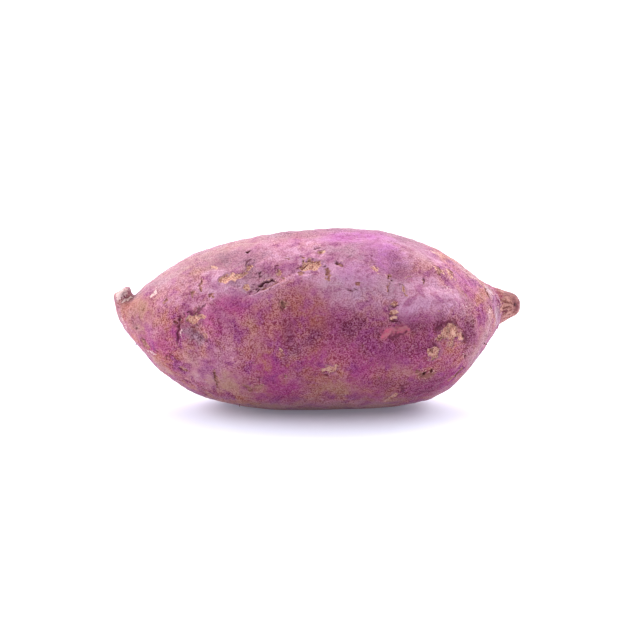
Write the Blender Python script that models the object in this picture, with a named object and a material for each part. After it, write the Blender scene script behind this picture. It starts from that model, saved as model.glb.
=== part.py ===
"""Sweet potato: one whole storage root, lying on the small flat spot under its belly.

X runs along the root from the stem stub to the tail, Z is up and -Y is the front. The root is one
closed skin, lofted through oval sections. Each section is a slice that leans with the root, so the
slices fan round where the stem stub turns up at the left end.
"""

import math
from typing import NamedTuple

import bmesh
import bpy
from mathutils import Vector

# Driving dimensions, in metres.
LENGTH = 0.160  # from the stem stub to the tip of the tail
HEIGHT = 0.070  # from the resting spot to the top of the back
WIDTH = 0.072  # across the belly, front to back

# How finely the skin is laid.
RINGS = 84  # slices along the root
SEGMENTS = 48  # points round each slice

# The broken end of the stem stub, and the worn end of the tail.
STUB_BEVEL = 0.0006  # width of the rubbed edge round the broken face
STUB_HOLLOW = 0.0004  # how far the broken face sinks below its rim
TAIL_DOME_RINGS = 3
TAIL_DOME_SHARE = 0.75  # the dome's height as a share of the last section's half height

COLOUR = (0.42, 0.13, 0.26, 1.0)
ROUGHNESS = 0.62


class Section(NamedTuple):
    """One oval slice. Lengths along X are shares of LENGTH, heights of HEIGHT, widths of WIDTH."""

    top_x: float
    top_z: float
    low_x: float
    low_z: float
    width: float
    sway: float  # how far the slice's middle lies behind the XZ plane


# From the stem stub to the tail. The sections whose low_z is under zero are the resting spot: what
# dips below the table is cut flat.
SECTIONS = (
    Section(-0.450, 0.693, -0.495, 0.647, 0.104, -0.028),  # broken face of the stem stub
    Section(-0.447, 0.658, -0.493, 0.614, 0.116, -0.028),
    Section(-0.445, 0.626, -0.490, 0.574, 0.136, -0.027),  # the notch behind the stub
    Section(-0.439, 0.640, -0.484, 0.523, 0.205, -0.024),
    Section(-0.427, 0.666, -0.471, 0.466, 0.300, -0.021),
    Section(-0.411, 0.695, -0.452, 0.408, 0.395, -0.017),
    Section(-0.386, 0.735, -0.424, 0.326, 0.500, -0.014),
    Section(-0.354, 0.786, -0.389, 0.234, 0.618, -0.010),
    Section(-0.312, 0.843, -0.342, 0.147, 0.738, -0.006),
    Section(-0.259, 0.892, -0.279, 0.067, 0.850, 0.000),
    Section(-0.190, 0.938, -0.200, 0.020, 0.938, 0.003),
    Section(-0.112, 0.973, -0.117, -0.008, 0.985, 0.006),
    Section(-0.031, 0.994, -0.036, -0.012, 1.000, 0.006),
    Section(0.068, 1.004, 0.068, -0.008, 0.994, 0.004),
    Section(0.166, 0.990, 0.168, 0.003, 0.967, 0.000),
    Section(0.227, 0.950, 0.235, 0.023, 0.925, -0.003),
    Section(0.289, 0.890, 0.304, 0.078, 0.836, -0.006),
    Section(0.338, 0.827, 0.356, 0.172, 0.704, -0.004),
    Section(0.380, 0.761, 0.395, 0.282, 0.542, 0.002),
    Section(0.409, 0.713, 0.422, 0.357, 0.402, 0.014),
    Section(0.429, 0.685, 0.441, 0.419, 0.280, 0.034),  # shoulder above the tail
    Section(0.446, 0.666, 0.453, 0.456, 0.190, 0.054),  # root of the tail
    Section(0.466, 0.650, 0.468, 0.484, 0.150, 0.062),
    Section(0.480, 0.636, 0.485, 0.501, 0.126, 0.066),
)


class Lump(NamedTuple):
    """A long swelling of the flanks that keeps the slices from being true ovals."""

    waves_round: int
    waves_along: float
    phase: float
    height: float  # as a share of the slice's radius


LUMPS = (
    Lump(2, 1.5, 0.6, 0.012),
    Lump(3, 1.0, 2.1, 0.010),
    Lump(4, 2.5, 4.0, 0.006),
    Lump(5, 3.5, 1.2, 0.004),
)


def clear_scene():
    for obj in list(bpy.data.objects):
        bpy.data.objects.remove(obj, do_unlink=True)


def upper_and_lower(section):
    """The highest and the lowest point of a section, in metres."""
    sway = section.sway * WIDTH
    upper = Vector((section.top_x * LENGTH, sway, section.top_z * HEIGHT))
    lower = Vector((section.low_x * LENGTH, sway, section.low_z * HEIGHT))
    return upper, lower


def slice_values():
    """Each section as seven lengths in metres: its middle, its half chord's X and Z, and its half width."""
    rows = []
    for section in SECTIONS:
        upper, lower = upper_and_lower(section)
        middle = (upper + lower) / 2
        half = (upper - lower) / 2
        rows.append((*middle, half.x, half.z, section.width * WIDTH / 2))
    return rows


def distances_along():
    """How far along the root each section lies, by the mean run of its upper and lower points."""
    runs = [0.0]
    ends = [upper_and_lower(section) for section in SECTIONS]
    for (upper, lower), (next_upper, next_lower) in zip(ends, ends[1:]):
        step = ((next_upper - upper).length + (next_lower - lower).length) / 2
        runs.append(runs[-1] + step)
    return runs


def slopes(knots, values):
    """The slope of a smooth curve at each of its points, from the points on either side."""
    steps = [(b - a) / (s - r) for r, s, a, b in zip(knots, knots[1:], values, values[1:])]
    inner = []
    for i in range(1, len(values) - 1):
        before = knots[i] - knots[i - 1]
        after = knots[i + 1] - knots[i]
        inner.append((steps[i - 1] * after + steps[i] * before) / (before + after))
    return [steps[0], *inner, steps[-1]]


def smooth_curve(knots, values):
    """A function that reads the smooth curve through values at any distance between the knots."""
    slope = slopes(knots, values)

    def at(distance):
        i = 0
        while i < len(knots) - 2 and distance > knots[i + 1]:
            i += 1
        span = knots[i + 1] - knots[i]
        t = (distance - knots[i]) / span
        start = (1 + 2 * t) * (1 - t) ** 2
        end = t * t * (3 - 2 * t)
        leave = t * (1 - t) ** 2 * span
        arrive = -t * t * (1 - t) * span
        return start * values[i] + end * values[i + 1] + leave * slope[i] + arrive * slope[i + 1]

    return at


def swelling(angle, share):
    """How much the skin stands out at this angle round the slice and this share of the length."""
    flank = abs(math.sin(angle))
    total = 0.0
    for lump in LUMPS:
        along = math.sin(2 * math.pi * lump.waves_along * share + lump.phase)
        total += lump.height * along * math.cos(lump.waves_round * angle + lump.phase)
    return 1 + flank * total


def ring_points(middle, half_chord, half_width, share, size=1.0):
    """The points round one slice, from its top over the front, size times as large."""
    across = Vector((0, -half_width, 0))
    points = []
    for k in range(SEGMENTS):
        angle = 2 * math.pi * k / SEGMENTS
        out = half_chord * math.cos(angle) + across * math.sin(angle)
        points.append(middle + out * size * swelling(angle, share))
    return points


def body_rings():
    """Evenly spaced slices from the stem stub's broken face to the start of the tail's dome."""
    knots = distances_along()
    curves = [smooth_curve(knots, column) for column in zip(*slice_values())]
    rings = []
    for i in range(RINGS):
        share = i / (RINGS - 1)
        x, y, z, half_x, half_z, half_width = (curve(share * knots[-1]) for curve in curves)
        rings.append((Vector((x, y, z)), Vector((half_x, 0, half_z)), half_width, share))
    return rings


def outward(ring, neighbour):
    """The unit direction in which the root ends at ring."""
    return (ring[0] - neighbour[0]).normalized()


def tail_dome(rings):
    """The worn, rounded end: ever smaller slices, and the point that closes them."""
    middle, half_chord, half_width, share = rings[-1]
    direction = outward(rings[-1], rings[-2])
    rise = half_chord.length * TAIL_DOME_SHARE
    domes = []
    for k in range(1, TAIL_DOME_RINGS + 1):
        angle = math.pi / 2 * k / (TAIL_DOME_RINGS + 1)
        centre = middle + direction * rise * math.sin(angle)
        domes.append(ring_points(centre, half_chord, half_width, share, math.cos(angle)))
    return domes, middle + direction * rise


def stub_face(rings):
    """The broken end of the stem: a ring inside the rubbed edge, and the middle of the hollow face."""
    middle, half_chord, half_width, share = rings[0]
    direction = outward(rings[0], rings[1])
    size = 1 - STUB_BEVEL / half_width
    rim = ring_points(middle + direction * STUB_BEVEL / 2, half_chord, half_width, share, size)
    return rim, middle + direction * (STUB_BEVEL / 2 - STUB_HOLLOW)


def bridge(bm, near, far):
    """Quads from one ring of vertices to the next along the root."""
    for k in range(SEGMENTS):
        after = (k + 1) % SEGMENTS
        bm.faces.new((near[k], near[after], far[after], far[k]))


def close_end(bm, ring, point):
    """Triangles from a ring to the point that closes it."""
    tip = bm.verts.new(point)
    for k in range(SEGMENTS):
        bm.faces.new((ring[k], ring[(k + 1) % SEGMENTS], tip))


def cut_resting_spot(bm):
    """Cuts off what dips below the table, and closes the cut with one flat face."""
    everything = [*bm.verts, *bm.edges, *bm.faces]
    cut = bmesh.ops.bisect_plane(
        bm, geom=everything, plane_co=(0, 0, 0), plane_no=(0, 0, -1), clear_outer=True
    )
    rim = [edge for edge in cut["geom_cut"] if isinstance(edge, bmesh.types.BMEdge)]
    bmesh.ops.edgenet_fill(bm, edges=rim)


def centre_over_origin(bm):
    """Slides the root level, so that the origin is on the table under the middle of its box."""
    xs = [vert.co.x for vert in bm.verts]
    ys = [vert.co.y for vert in bm.verts]
    middle = Vector(((min(xs) + max(xs)) / 2, (min(ys) + max(ys)) / 2, 0))
    bmesh.ops.translate(bm, verts=bm.verts, vec=-middle)


def skin_material():
    material = bpy.data.materials.new("purple_skin")
    material.use_nodes = True
    shader = material.node_tree.nodes["Principled BSDF"]
    shader.inputs["Base Color"].default_value = COLOUR
    shader.inputs["Roughness"].default_value = ROUGHNESS
    shader.inputs["Metallic"].default_value = 0.0
    return material


def build_root():
    """The whole sweet potato as one object."""
    rings = body_rings()
    rim, hollow = stub_face(rings)
    dome, tip = tail_dome(rings)
    bm = bmesh.new()
    outlines = [rim, *(ring_points(*ring) for ring in rings), *dome]
    rows = [[bm.verts.new(point) for point in outline] for outline in outlines]
    for near, far in zip(rows, rows[1:]):
        bridge(bm, near, far)
    close_end(bm, rows[0], hollow)
    close_end(bm, rows[-1], tip)
    cut_resting_spot(bm)
    bmesh.ops.recalc_face_normals(bm, faces=bm.faces)
    centre_over_origin(bm)

    mesh = bpy.data.meshes.new("sweet_potato")
    bm.to_mesh(mesh)
    bm.free()
    mesh.shade_smooth()
    mesh.materials.append(skin_material())
    root = bpy.data.objects.new("sweet_potato", mesh)
    bpy.context.scene.collection.objects.link(root)
    return root


def main():
    clear_scene()
    build_root()


main()
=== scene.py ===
"""A purple-skinned sweet potato, lying on its belly on a pale studio floor.

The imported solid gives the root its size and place. Its skin is laid again here as a fine, even mesh,
then swollen, folded, scarred and pitted, and dressed with a skin whose stains and scars are kept as
values on the mesh. Places on the root are given as millimetres along it from its middle, and degrees
round it: 0 faces the front, 90 is the top of the back, -90 is the belly and 180 is the far side.
"""

import logging
import math
import random
from dataclasses import dataclass, field
from enum import Enum

import bmesh
import bpy
import numpy as np
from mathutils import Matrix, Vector, noise
from mathutils.bvhtree import BVHTree


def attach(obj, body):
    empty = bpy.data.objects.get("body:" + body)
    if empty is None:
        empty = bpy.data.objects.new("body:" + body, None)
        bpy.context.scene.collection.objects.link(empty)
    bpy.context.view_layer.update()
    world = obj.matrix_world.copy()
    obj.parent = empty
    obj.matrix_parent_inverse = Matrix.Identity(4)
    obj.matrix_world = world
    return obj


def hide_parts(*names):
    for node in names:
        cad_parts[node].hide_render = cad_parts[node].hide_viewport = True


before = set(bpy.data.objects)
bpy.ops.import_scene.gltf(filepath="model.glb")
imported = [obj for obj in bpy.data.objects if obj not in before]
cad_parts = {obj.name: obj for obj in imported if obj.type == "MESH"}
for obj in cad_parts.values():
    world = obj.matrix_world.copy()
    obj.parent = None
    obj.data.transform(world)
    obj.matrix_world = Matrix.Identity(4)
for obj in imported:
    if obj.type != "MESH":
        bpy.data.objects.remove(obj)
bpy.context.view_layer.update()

LOG = logging.getLogger("sweet_potato")
MM = 0.001  # one millimetre in metres

Place = tuple[float, float]  # millimetres along the root, degrees round it
Colour = tuple[float, float, float, float]
Socket = bpy.types.NodeSocket


class Tone(Enum):
    """What the skin can turn to at a point. Each is a value on the mesh, under this name."""

    LILAC_AND_HIGHLIGHT = "lilac_and_highlight"  # pale dusty skin, and painted highlight where light falls
    OCHRE = "ochre"  # tan skin
    ASH_AND_SHEEN = "ash_and_sheen"  # dry greyish pale skin, and painted sheen along the rims
    RUST = "rust"  # orange-brown skin
    PLUM = "plum"  # dark blue-purple skin; painted shade on the top rim and in a hollow
    MAGENTA = "magenta"  # deep pink-purple skin
    ORCHID = "orchid"  # brightest skin
    GREY = "grey"  # weathered grey-violet skin; painted shade on the top rim
    BARK = "bark"  # dry brown bark of the stub and the tail
    RAW = "raw"  # rubbed pink skin
    CORK = "cork"  # dry tan tissue over an old wound
    PALE = "pale"  # torn, whitish edge of skin; painted light on the stub's shaded front
    DARK_PLUM_AND_SHADE = "dark_plum_and_shade"  # scab outlines: painted shade, partly own dark plum
    DARK = "dark"  # dark earth and painted shade in a crack or a hole


@dataclass(frozen=True)
class Profile:
    """How a scar changes the skin from its middle to its edge.

    Depth and rim are millimetres. Flat is the share of the half width that lies at full depth, and
    ragged is how far the edge wanders, as a share of the half width.
    """

    depth: float
    rim: float
    flat: float
    ragged: float
    middle: tuple[tuple[Tone, float], ...]
    edge: tuple[tuple[Tone, float], ...] = ()


class Scar(Enum):
    """The kinds of scar on the skin."""

    # Dark middles are partly painted shade in the hollow. Dark plum edge rings are painted shade under an
    # overhanging edge; lilac edge rings and a lip's lilac are painted highlight on a lit rim.
    HOLE = Profile(1.4, 0.10, 0.35, 0.25, ((Tone.DARK, 1.0),), ((Tone.CORK, 0.45),))
    PIT = Profile(0.6, 0.20, 0.20, 0.30, ((Tone.DARK, 0.55), (Tone.CORK, 0.4)), ((Tone.LILAC_AND_HIGHLIGHT, 0.4),))
    CRACK = Profile(0.55, 0.10, 0.0, 0.40, ((Tone.DARK, 0.64),), ((Tone.CORK, 0.25),))
    CREVICE = Profile(1.3, 0.24, 0.10, 0.45, ((Tone.DARK, 0.80),), ((Tone.CORK, 0.45),))
    SCAB = Profile(0.38, 0.22, 0.75, 0.50, ((Tone.CORK, 1.0),), ((Tone.DARK_PLUM_AND_SHADE, 0.42), (Tone.LILAC_AND_HIGHLIGHT, 0.5)))
    SCUFF = Profile(0.08, 0.0, 0.30, 0.80, ((Tone.CORK, 0.62),))
    BROWN = Profile(0.32, 0.10, 0.30, 0.70, ((Tone.BARK, 0.80), (Tone.DARK, 0.42)), ((Tone.CORK, 0.30),))
    LIP = Profile(-0.30, 0.0, 0.10, 0.40, ((Tone.LILAC_AND_HIGHLIGHT, 0.9), (Tone.PALE, 0.2)))
    LINE = Profile(-0.08, 0.0, 0.20, 0.30, ((Tone.LILAC_AND_HIGHLIGHT, 1.0), (Tone.PALE, 0.35)))
    TEAR = Profile(0.18, 0.12, 0.50, 0.35, ((Tone.PALE, 0.9),), ((Tone.DARK_PLUM_AND_SHADE, 0.5),))
    RAW = Profile(0.22, 0.05, 0.50, 0.60, ((Tone.RAW, 1.0),), ((Tone.MAGENTA, 0.6),))
    REDDISH = Profile(0.22, 0.05, 0.30, 0.40, ((Tone.RUST, 1.3), (Tone.DARK, 0.30)), ((Tone.DARK_PLUM_AND_SHADE, 0.3),))
    # Dark plum spots and lines: painted shade beside scabs, partly the skin's own dark plum.
    DARK_PLUM_AND_SHADE = Profile(0.28, 0.0, 0.20, 0.60, ((Tone.DARK_PLUM_AND_SHADE, 0.85),))


@dataclass(frozen=True)
class Mark:
    """One scar: its kind, its half width in millimetres and the places that it runs through."""

    kind: Scar
    half_width: float
    route: tuple[Place, ...]
    strength: float = 1.0


@dataclass(frozen=True)
class Stain:
    """A soft patch of one tone, from full in its middle to nothing past its radius."""

    tone: Tone
    radius: float
    route: tuple[Place, ...]
    strength: float = 1.0


@dataclass(frozen=True)
class Swell:
    """A broad rise in the skin, or a hollow where its height is below nought, in millimetres."""

    height: float
    radius: float
    route: tuple[Place, ...]


@dataclass(frozen=True)
class Fold:
    """A step in the skin: it drops sharply to the left of its route and rises back over a radius."""

    depth: float
    radius: float
    route: tuple[Place, ...]
    pale: float = 0.7  # how much pale lilac is painted along the raised edge as a highlight


# About two in three of the places in the four lists below were computed outside this script and kept
# as they came. The rest were moved or set one by one. None is worked out from driving dimensions.
SWELLS = (
    Swell(-0.9, 4.0, ((-35, 51), (-29.5, 43), (-23.5, 38), (-18.5, 35))),
    Swell(0.5, 5.0, ((-32, 20), (-26.5, 16), (-20.5, 19), (-14, 27))),
    Swell(-1.2, 4.0, ((28.5, 49), (28.5, 31), (28.5, 14), (28.5, 2))),
    Swell(-1.5, 3.2, ((30, 6), (36.5, 4), (43, 5), (50, 5))),
    Swell(-0.8, 3.5, ((25.5, -1), (33, -4), (40.5, -7))),
    Swell(1.6, 4.6, ((31.5, 19), (37.5, 20), (43.5, 20), (50, 20))),
    Swell(-0.8, 2.5, ((44.5, 3), (46.5, -12), (52.5, -18), (56.5, -13), (54, 3))),
    Swell(-0.9, 3.5, ((-50.5, 4), (-46, 2), (-44.5, -6))),
    Swell(0.5, 3.5, ((-38.5, 12), (-39, -2), (-39.5, -12))),
    Swell(0.4, 3.0, ((13, 43), (14.5, 35), (13, 27))),
    Swell(-0.6, 3.5, ((8.5, 27), (13, 22), (18, 19))),
    Swell(-0.5, 3.0, ((-6.5, 46), (-2, 44))),
    Swell(-0.5, 2.5, ((1, 57),)),
    Swell(-0.5, 2.2, ((8, 47),)),
    Swell(-0.5, 2.0, ((3.5, 41),)),
    Swell(0.4, 5.0, ((14.5, 53), (19.5, 59))),
    Swell(-0.7, 5.0, ((30.5, 44), (36, 42))),
    Swell(0.5, 4.0, ((47, 48), (51.5, 46))),
    Swell(0.6, 1.6, ((-76.5, 12), (-74.5, 25))),
)

FOLDS = (
    Fold(0.8, 5.0,
        ((-34.5, 32), (-32, 28), (-28.5, 26), (-26, 22), (-23.5, 24), (-20.5, 26), (-17.5, 29),
         (-14, 32), (-10.5, 35)), 1.2
    ),
    Fold(0.5, 3.0, ((-10, 39), (-7.5, 39), (-4.5, 38), (0, 40))),
    Fold(0.4, 2.0, ((-39.5, -10), (-41, -2), (-42, 6), (-41.5, 12), (-39.5, 16)), 0.3),
    Fold(0.7, 2.0,
        ((67.5, 93), (70.5, 61), (71.7, 25), (71.9, -7), (71.4, -50), (71, -85), (70, -140),
         (69, -180), (67.5, -267)), 0.9
    ),
)

MARKS = (
    # Upper left.
    Mark(Scar.HOLE, 0.8, ((-26.5, 62),)),
    Mark(Scar.CRACK, 0.4, ((-26, 63), (-24.5, 64)), 0.7),
    Mark(Scar.SCAB, 1.0, ((-26, 44), (-24.5, 48))),
    Mark(Scar.CRACK, 0.5, ((-27, 47), (-26, 51), (-24.5, 52)), 0.8),
    Mark(Scar.PIT, 0.5, ((-23.5, 50),)),
    Mark(Scar.SCAB, 2.1, ((-36, 34), (-32.5, 36), (-29, 38))),
    Mark(Scar.SCAB, 1.1, ((-28.5, 39), (-26, 42))),
    Mark(Scar.SCUFF, 1.2, ((-40.5, 51), (-38.5, 48))),
    Mark(Scar.SCAB, 1.1, ((-26.5, 29),)),
    Mark(Scar.CRACK, 0.4, ((-25.5, 26), (-23.5, 27), (-22, 29))),
    Mark(Scar.CRACK, 0.4, ((-24, 24), (-22.5, 26), (-21, 29))),
    Mark(Scar.BROWN, 0.9, ((-21, 28), (-18, 30), (-15.5, 32)), 0.8),
    Mark(Scar.CREVICE, 0.8, ((-21.5, 31), (-19.5, 33), (-17.5, 35), (-16, 35))),
    Mark(Scar.CRACK, 0.5, ((-18.5, 37), (-16.5, 35), (-14.5, 33))),
    Mark(Scar.CRACK, 0.6, ((-22, 40), (-20.5, 41))),
    Mark(Scar.PIT, 0.6, ((-21.5, 38),)),
    Mark(Scar.SCAB, 0.8, ((-14.5, 42), (-14, 39))),
    Mark(Scar.CRACK, 0.5, ((-16, 42), (-15.5, 45), (-14, 46))),
    Mark(Scar.BROWN, 0.9, ((-43.5, 37), (-44, 31), (-43.5, 26))),
    Mark(Scar.BROWN, 0.8, ((-47, 26), (-47, 20))),
    Mark(Scar.BROWN, 0.8, ((-40.5, 24), (-39, 21))),
    Mark(Scar.BROWN, 0.8, ((-57, 19), (-57.5, 15))),
    Mark(Scar.BROWN, 0.7, ((-68, 9),), 0.7),
    Mark(Scar.TEAR, 0.7, ((-64, 19), (-62, 27), (-61, 36)), 0.75),
    Mark(Scar.CRACK, 0.3, ((-65.5, 30), (-64, 43)), 0.6),
    Mark(Scar.LIP, 0.5, ((-63, 16), (-60, 34)), 0.8),
    Mark(Scar.DARK_PLUM_AND_SHADE, 0.6, ((-25, 37), (-24, 38)), 0.8),
    Mark(Scar.DARK_PLUM_AND_SHADE, 0.8, ((-30.5, 29), (-29, 30)), 0.7),
    Mark(Scar.DARK_PLUM_AND_SHADE, 0.6, ((-32, 27), (-31.5, 28)), 0.7),
    Mark(Scar.DARK_PLUM_AND_SHADE, 0.6, ((-24, 31), (-23, 32)), 0.8),
    Mark(Scar.DARK_PLUM_AND_SHADE, 0.6, ((-25, 24), (-24, 24)), 0.8),
    Mark(Scar.BROWN, 0.6, ((-13, 37), (-12, 35))),
    Mark(Scar.LIP, 0.4, ((-23, 24), (-21, 26), (-18.5, 27), (-17, 29), (-14, 30)), 0.6),
    # The eye.
    Mark(Scar.LIP, 0.4, ((-8.5, 40), (-6, 40), (-3.5, 39), (-1, 41)), 0.7),
    Mark(Scar.DARK_PLUM_AND_SHADE, 0.5, ((-12, 22), (-11.5, 19)), 0.8),
    Mark(Scar.SCAB, 2.5, ((-6, 44), (-3, 46), (0.5, 47))),
    Mark(Scar.CRACK, 0.5, ((-9, 41), (-7.5, 44), (-6, 47), (-3.5, 50), (-1, 50)), 0.75),
    Mark(Scar.CRACK, 0.4, ((-7.5, 42), (-5, 45), (-3, 47), (-1.5, 49))),
    Mark(Scar.BROWN, 0.7, ((-7.5, 40), (-5, 40))),
    Mark(Scar.SCAB, 1.7, ((1, 58), (2, 57))),
    Mark(Scar.CRACK, 0.4, ((-1, 60), (0.5, 62), (2.5, 61)), 0.8),
    Mark(Scar.BROWN, 1.4, ((3.5, 43), (4, 39), (4.5, 35))),
    Mark(Scar.CRACK, 0.5, ((3, 45), (4.5, 46))),
    Mark(Scar.PIT, 0.9, ((7, 47), (8, 48))),
    Mark(Scar.BROWN, 1.4, ((7.5, 47), (9, 44))),
    Mark(Scar.CRACK, 0.4, ((7, 46), (9, 47), (9.5, 44)), 0.7),
    Mark(Scar.BROWN, 0.8, ((-6, 53), (-5, 51))),
    Mark(Scar.CRACK, 0.4, ((-7, 53), (-6, 55))),
    Mark(Scar.BROWN, 0.5, ((-11.5, 51), (-9.5, 51))),
    Mark(Scar.PIT, 0.4, ((-17, 54),)),
    Mark(Scar.PIT, 0.5, ((-5.5, 34),), 0.6),
    Mark(Scar.CRACK, 0.3, ((11, 50), (13, 52)), 0.6),
    Mark(Scar.BROWN, 1.6, ((-12.5, 20), (-12.5, 17))),
    Mark(Scar.PIT, 0.8, ((-12.5, 20), (-12.5, 17))),
    Mark(Scar.CRACK, 0.5, ((-13.5, 22), (-14, 18), (-13, 15), (-11.5, 17))),
    Mark(Scar.CRACK, 0.5, ((11.5, 28), (13.5, 27), (15, 28))),
    Mark(Scar.CRACK, 0.35, ((15, 25), (17.5, 23), (20, 20)), 0.7),
    Mark(Scar.BROWN, 0.6, ((14, 32), (15.5, 31))),
    # Left wound.
    Mark(Scar.SCAB, 1.9, ((-48, 4), (-45, 4))),
    Mark(Scar.SCAB, 1.2, ((-43.5, 6),)),
    Mark(Scar.CRACK, 0.9, ((-50, 7), (-48, 10), (-45.5, 8), (-43.5, 12), (-42, 15)), 0.8),
    Mark(Scar.CRACK, 0.5, ((-48, -2), (-46, -2))),
    Mark(Scar.PIT, 0.6, ((-44.5, 1),)),
    Mark(Scar.CRACK, 0.8, ((-51.5, 5), (-51.5, -1), (-52, -8), (-52.5, -18))),
    Mark(Scar.PIT, 1.0, ((-53.5, 0), (-53, -1))),
    Mark(Scar.TEAR, 0.4, ((-51, -5), (-50.5, -11)), 0.5),
    Mark(Scar.CRACK, 0.5, ((-51, -13), (-50.5, -17), (-52, -19))),
    Mark(Scar.TEAR, 0.4, ((-45, -4), (-43, -8)), 0.5),
    Mark(Scar.BROWN, 0.8, ((-43, -5), (-41, -8)), 0.7),
    Mark(Scar.PIT, 0.6, ((-41, -10),)),
    Mark(Scar.BROWN, 0.9, ((-48, -7), (-46, -8)), 0.4),
    Mark(Scar.DARK_PLUM_AND_SHADE, 0.6, ((-47, -4), (-44, -6), (-42, -10)), 0.7),
    # Lower left.
    Mark(Scar.PIT, 0.7, ((-69, -26),)),
    Mark(Scar.CRACK, 0.4, ((-71.5, -20), (-70, -24)), 0.8),
    Mark(Scar.BROWN, 1.3, ((-67.5, -37), (-64, -36))),
    Mark(Scar.CRACK, 0.5, ((-67.5, -32), (-65, -34), (-63, -33))),
    Mark(Scar.TEAR, 0.9, ((-65, -43), (-61.5, -37)), 0.6),
    Mark(Scar.CRACK, 0.5, ((-62.5, -30), (-61, -33))),
    Mark(Scar.CRACK, 0.5, ((-57, -34), (-56.5, -28), (-54.5, -27), (-53.5, -30)), 0.8),
    Mark(Scar.PIT, 0.9, ((-52, -38), (-50.5, -38))),
    Mark(Scar.BROWN, 0.9, ((-52, -36), (-49.5, -37))),
    Mark(Scar.CRACK, 0.8, ((-51.5, -49), (-49, -49), (-47.5, -51))),
    Mark(Scar.BROWN, 0.7, ((-43.5, -39), (-42, -39)), 0.8),
    Mark(Scar.BROWN, 0.8, ((-39, -28), (-38, -35), (-38, -44))),
    Mark(Scar.CRACK, 0.4, ((-39, -29), (-38.5, -34), (-38, -42))),
    Mark(Scar.CRACK, 0.6, ((-23, -30), (-19.5, -28))),
    Mark(Scar.BROWN, 1.5, ((-27.5, -36), (-25, -39), (-21, -35)), 0.95),
    Mark(Scar.CRACK, 0.4, ((-27, -40), (-24.5, -39)), 0.8),
    Mark(Scar.PIT, 0.5, ((-13.5, -11),)),
    Mark(Scar.SCAB, 0.8, ((-13.5, -9),)),
    Mark(Scar.BROWN, 0.6, ((-12, -26),)),
    Mark(Scar.PIT, 0.4, ((-11, -27),)),
    Mark(Scar.SCAB, 1.3, ((2, -21), (5, -20), (7, -18))),
    Mark(Scar.CRACK, 0.4, ((2, -23), (4, -25), (5.5, -25))),
    Mark(Scar.CRACK, 0.3, ((2, -20), (4, -17), (6.5, -17)), 0.7),
    Mark(Scar.PIT, 0.6, ((10, -43),)),
    Mark(Scar.PIT, 0.6, ((17, -6),), 0.8),
    Mark(Scar.PIT, 0.6, ((-28.5, -13),), 0.8),
    Mark(Scar.PIT, 0.4, ((-7.5, -12),)),
    Mark(Scar.PIT, 0.5, ((-24, -19),), 0.7),
    # Right.
    Mark(Scar.SCUFF, 1.2, ((43, 77), (46.5, 77), (49.5, 77))),
    Mark(Scar.CRACK, 0.4, ((48, 79), (51.5, 77)), 0.8),
    Mark(Scar.BROWN, 0.8, ((45.5, 52), (46, 44))),
    Mark(Scar.SCUFF, 1.2, ((44, 51), (47.5, 46))),
    Mark(Scar.SCUFF, 1.2, ((49.5, 51), (50.5, 44), (52, 42))),
    Mark(Scar.BROWN, 0.7, ((50, 55), (51, 48))),
    Mark(Scar.SCUFF, 1.0, ((21, 44), (23, 40))),
    Mark(Scar.BROWN, 0.9, ((26.5, 40), (27.5, 36))),
    Mark(Scar.CRACK, 0.4, ((26.5, 39), (28, 35))),
    Mark(Scar.BROWN, 0.8, ((26.5, 33), (26, 28)), 0.8),
    Mark(Scar.CRACK, 0.3, ((25.5, 31), (27, 27)), 0.8),
    Mark(Scar.CRACK, 0.35, ((28.5, 34), (30.5, 33), (33, 33))),
    Mark(Scar.SCAB, 1.0, ((32, 32), (32, 27))),
    Mark(Scar.CRACK, 0.4, ((30.5, 32), (31, 28)), 0.7),
    Mark(Scar.BROWN, 0.6, ((32.5, 25), (33.5, 23))),
    Mark(Scar.BROWN, 0.7, ((39, 37), (40, 34))),
    Mark(Scar.CRACK, 0.5, ((40, 38), (39.5, 33))),
    Mark(Scar.BROWN, 0.5, ((33, 38), (35, 39))),
    Mark(Scar.SCAB, 0.9, ((27.5, 19), (29.5, 19))),
    Mark(Scar.SCAB, 1.0, ((27.5, 14), (29.5, 14))),
    Mark(Scar.SCAB, 1.0, ((27.5, 10), (29.5, 10))),
    Mark(Scar.CRACK, 0.4, ((27, 17), (30, 17))),
    Mark(Scar.CRACK, 0.4, ((27, 13), (30, 12))),
    Mark(Scar.CRACK, 0.5, ((27, 8), (30, 8))),
    Mark(Scar.CRACK, 0.5, ((26.5, 18), (26.5, 14), (27, 9)), 0.8),
    Mark(Scar.RAW, 1.5, ((24, -1), (25.5, 1), (28, 3), (31, 2), (34.5, 3)), 0.75),
    Mark(Scar.DARK_PLUM_AND_SHADE, 0.9, ((27, -2), (30, -1), (33.5, 0))),
    Mark(Scar.LIP, 0.4, ((24.5, 0), (27, 1.5), (30, 2)), 0.6),
    Mark(Scar.DARK_PLUM_AND_SHADE, 0.4, ((26, -1), (28.5, 1), (31.5, 1)), 0.5),
    Mark(Scar.DARK_PLUM_AND_SHADE, 0.5, ((29, 4), (32.5, 4)), 0.5),
    Mark(Scar.SCAB, 2.6, ((51, 0), (50, -7))),
    Mark(Scar.SCAB, 1.6, ((46, -6), (49, -2))),
    Mark(Scar.SCAB, 1.4, ((53, -6), (55, -10))),
    Mark(Scar.SCAB, 1.2, ((50.5, -9), (50.5, -14))),
    Mark(Scar.SCAB, 1.2, ((48.5, 0), (51, 3))),
    Mark(Scar.CRACK, 0.5, ((46, -6), (47, -8))),
    Mark(Scar.PIT, 0.6, ((47, -6),)),
    Mark(Scar.PIT, 0.6, ((55.5, -9),)),
    Mark(Scar.DARK_PLUM_AND_SHADE, 0.9, ((45, 0), (47.5, 4), (50, 5), (52.5, 4), (54, -2))),
    Mark(Scar.DARK_PLUM_AND_SHADE, 0.7, ((55.5, -6), (56.5, -12), (55, -15))),
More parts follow.
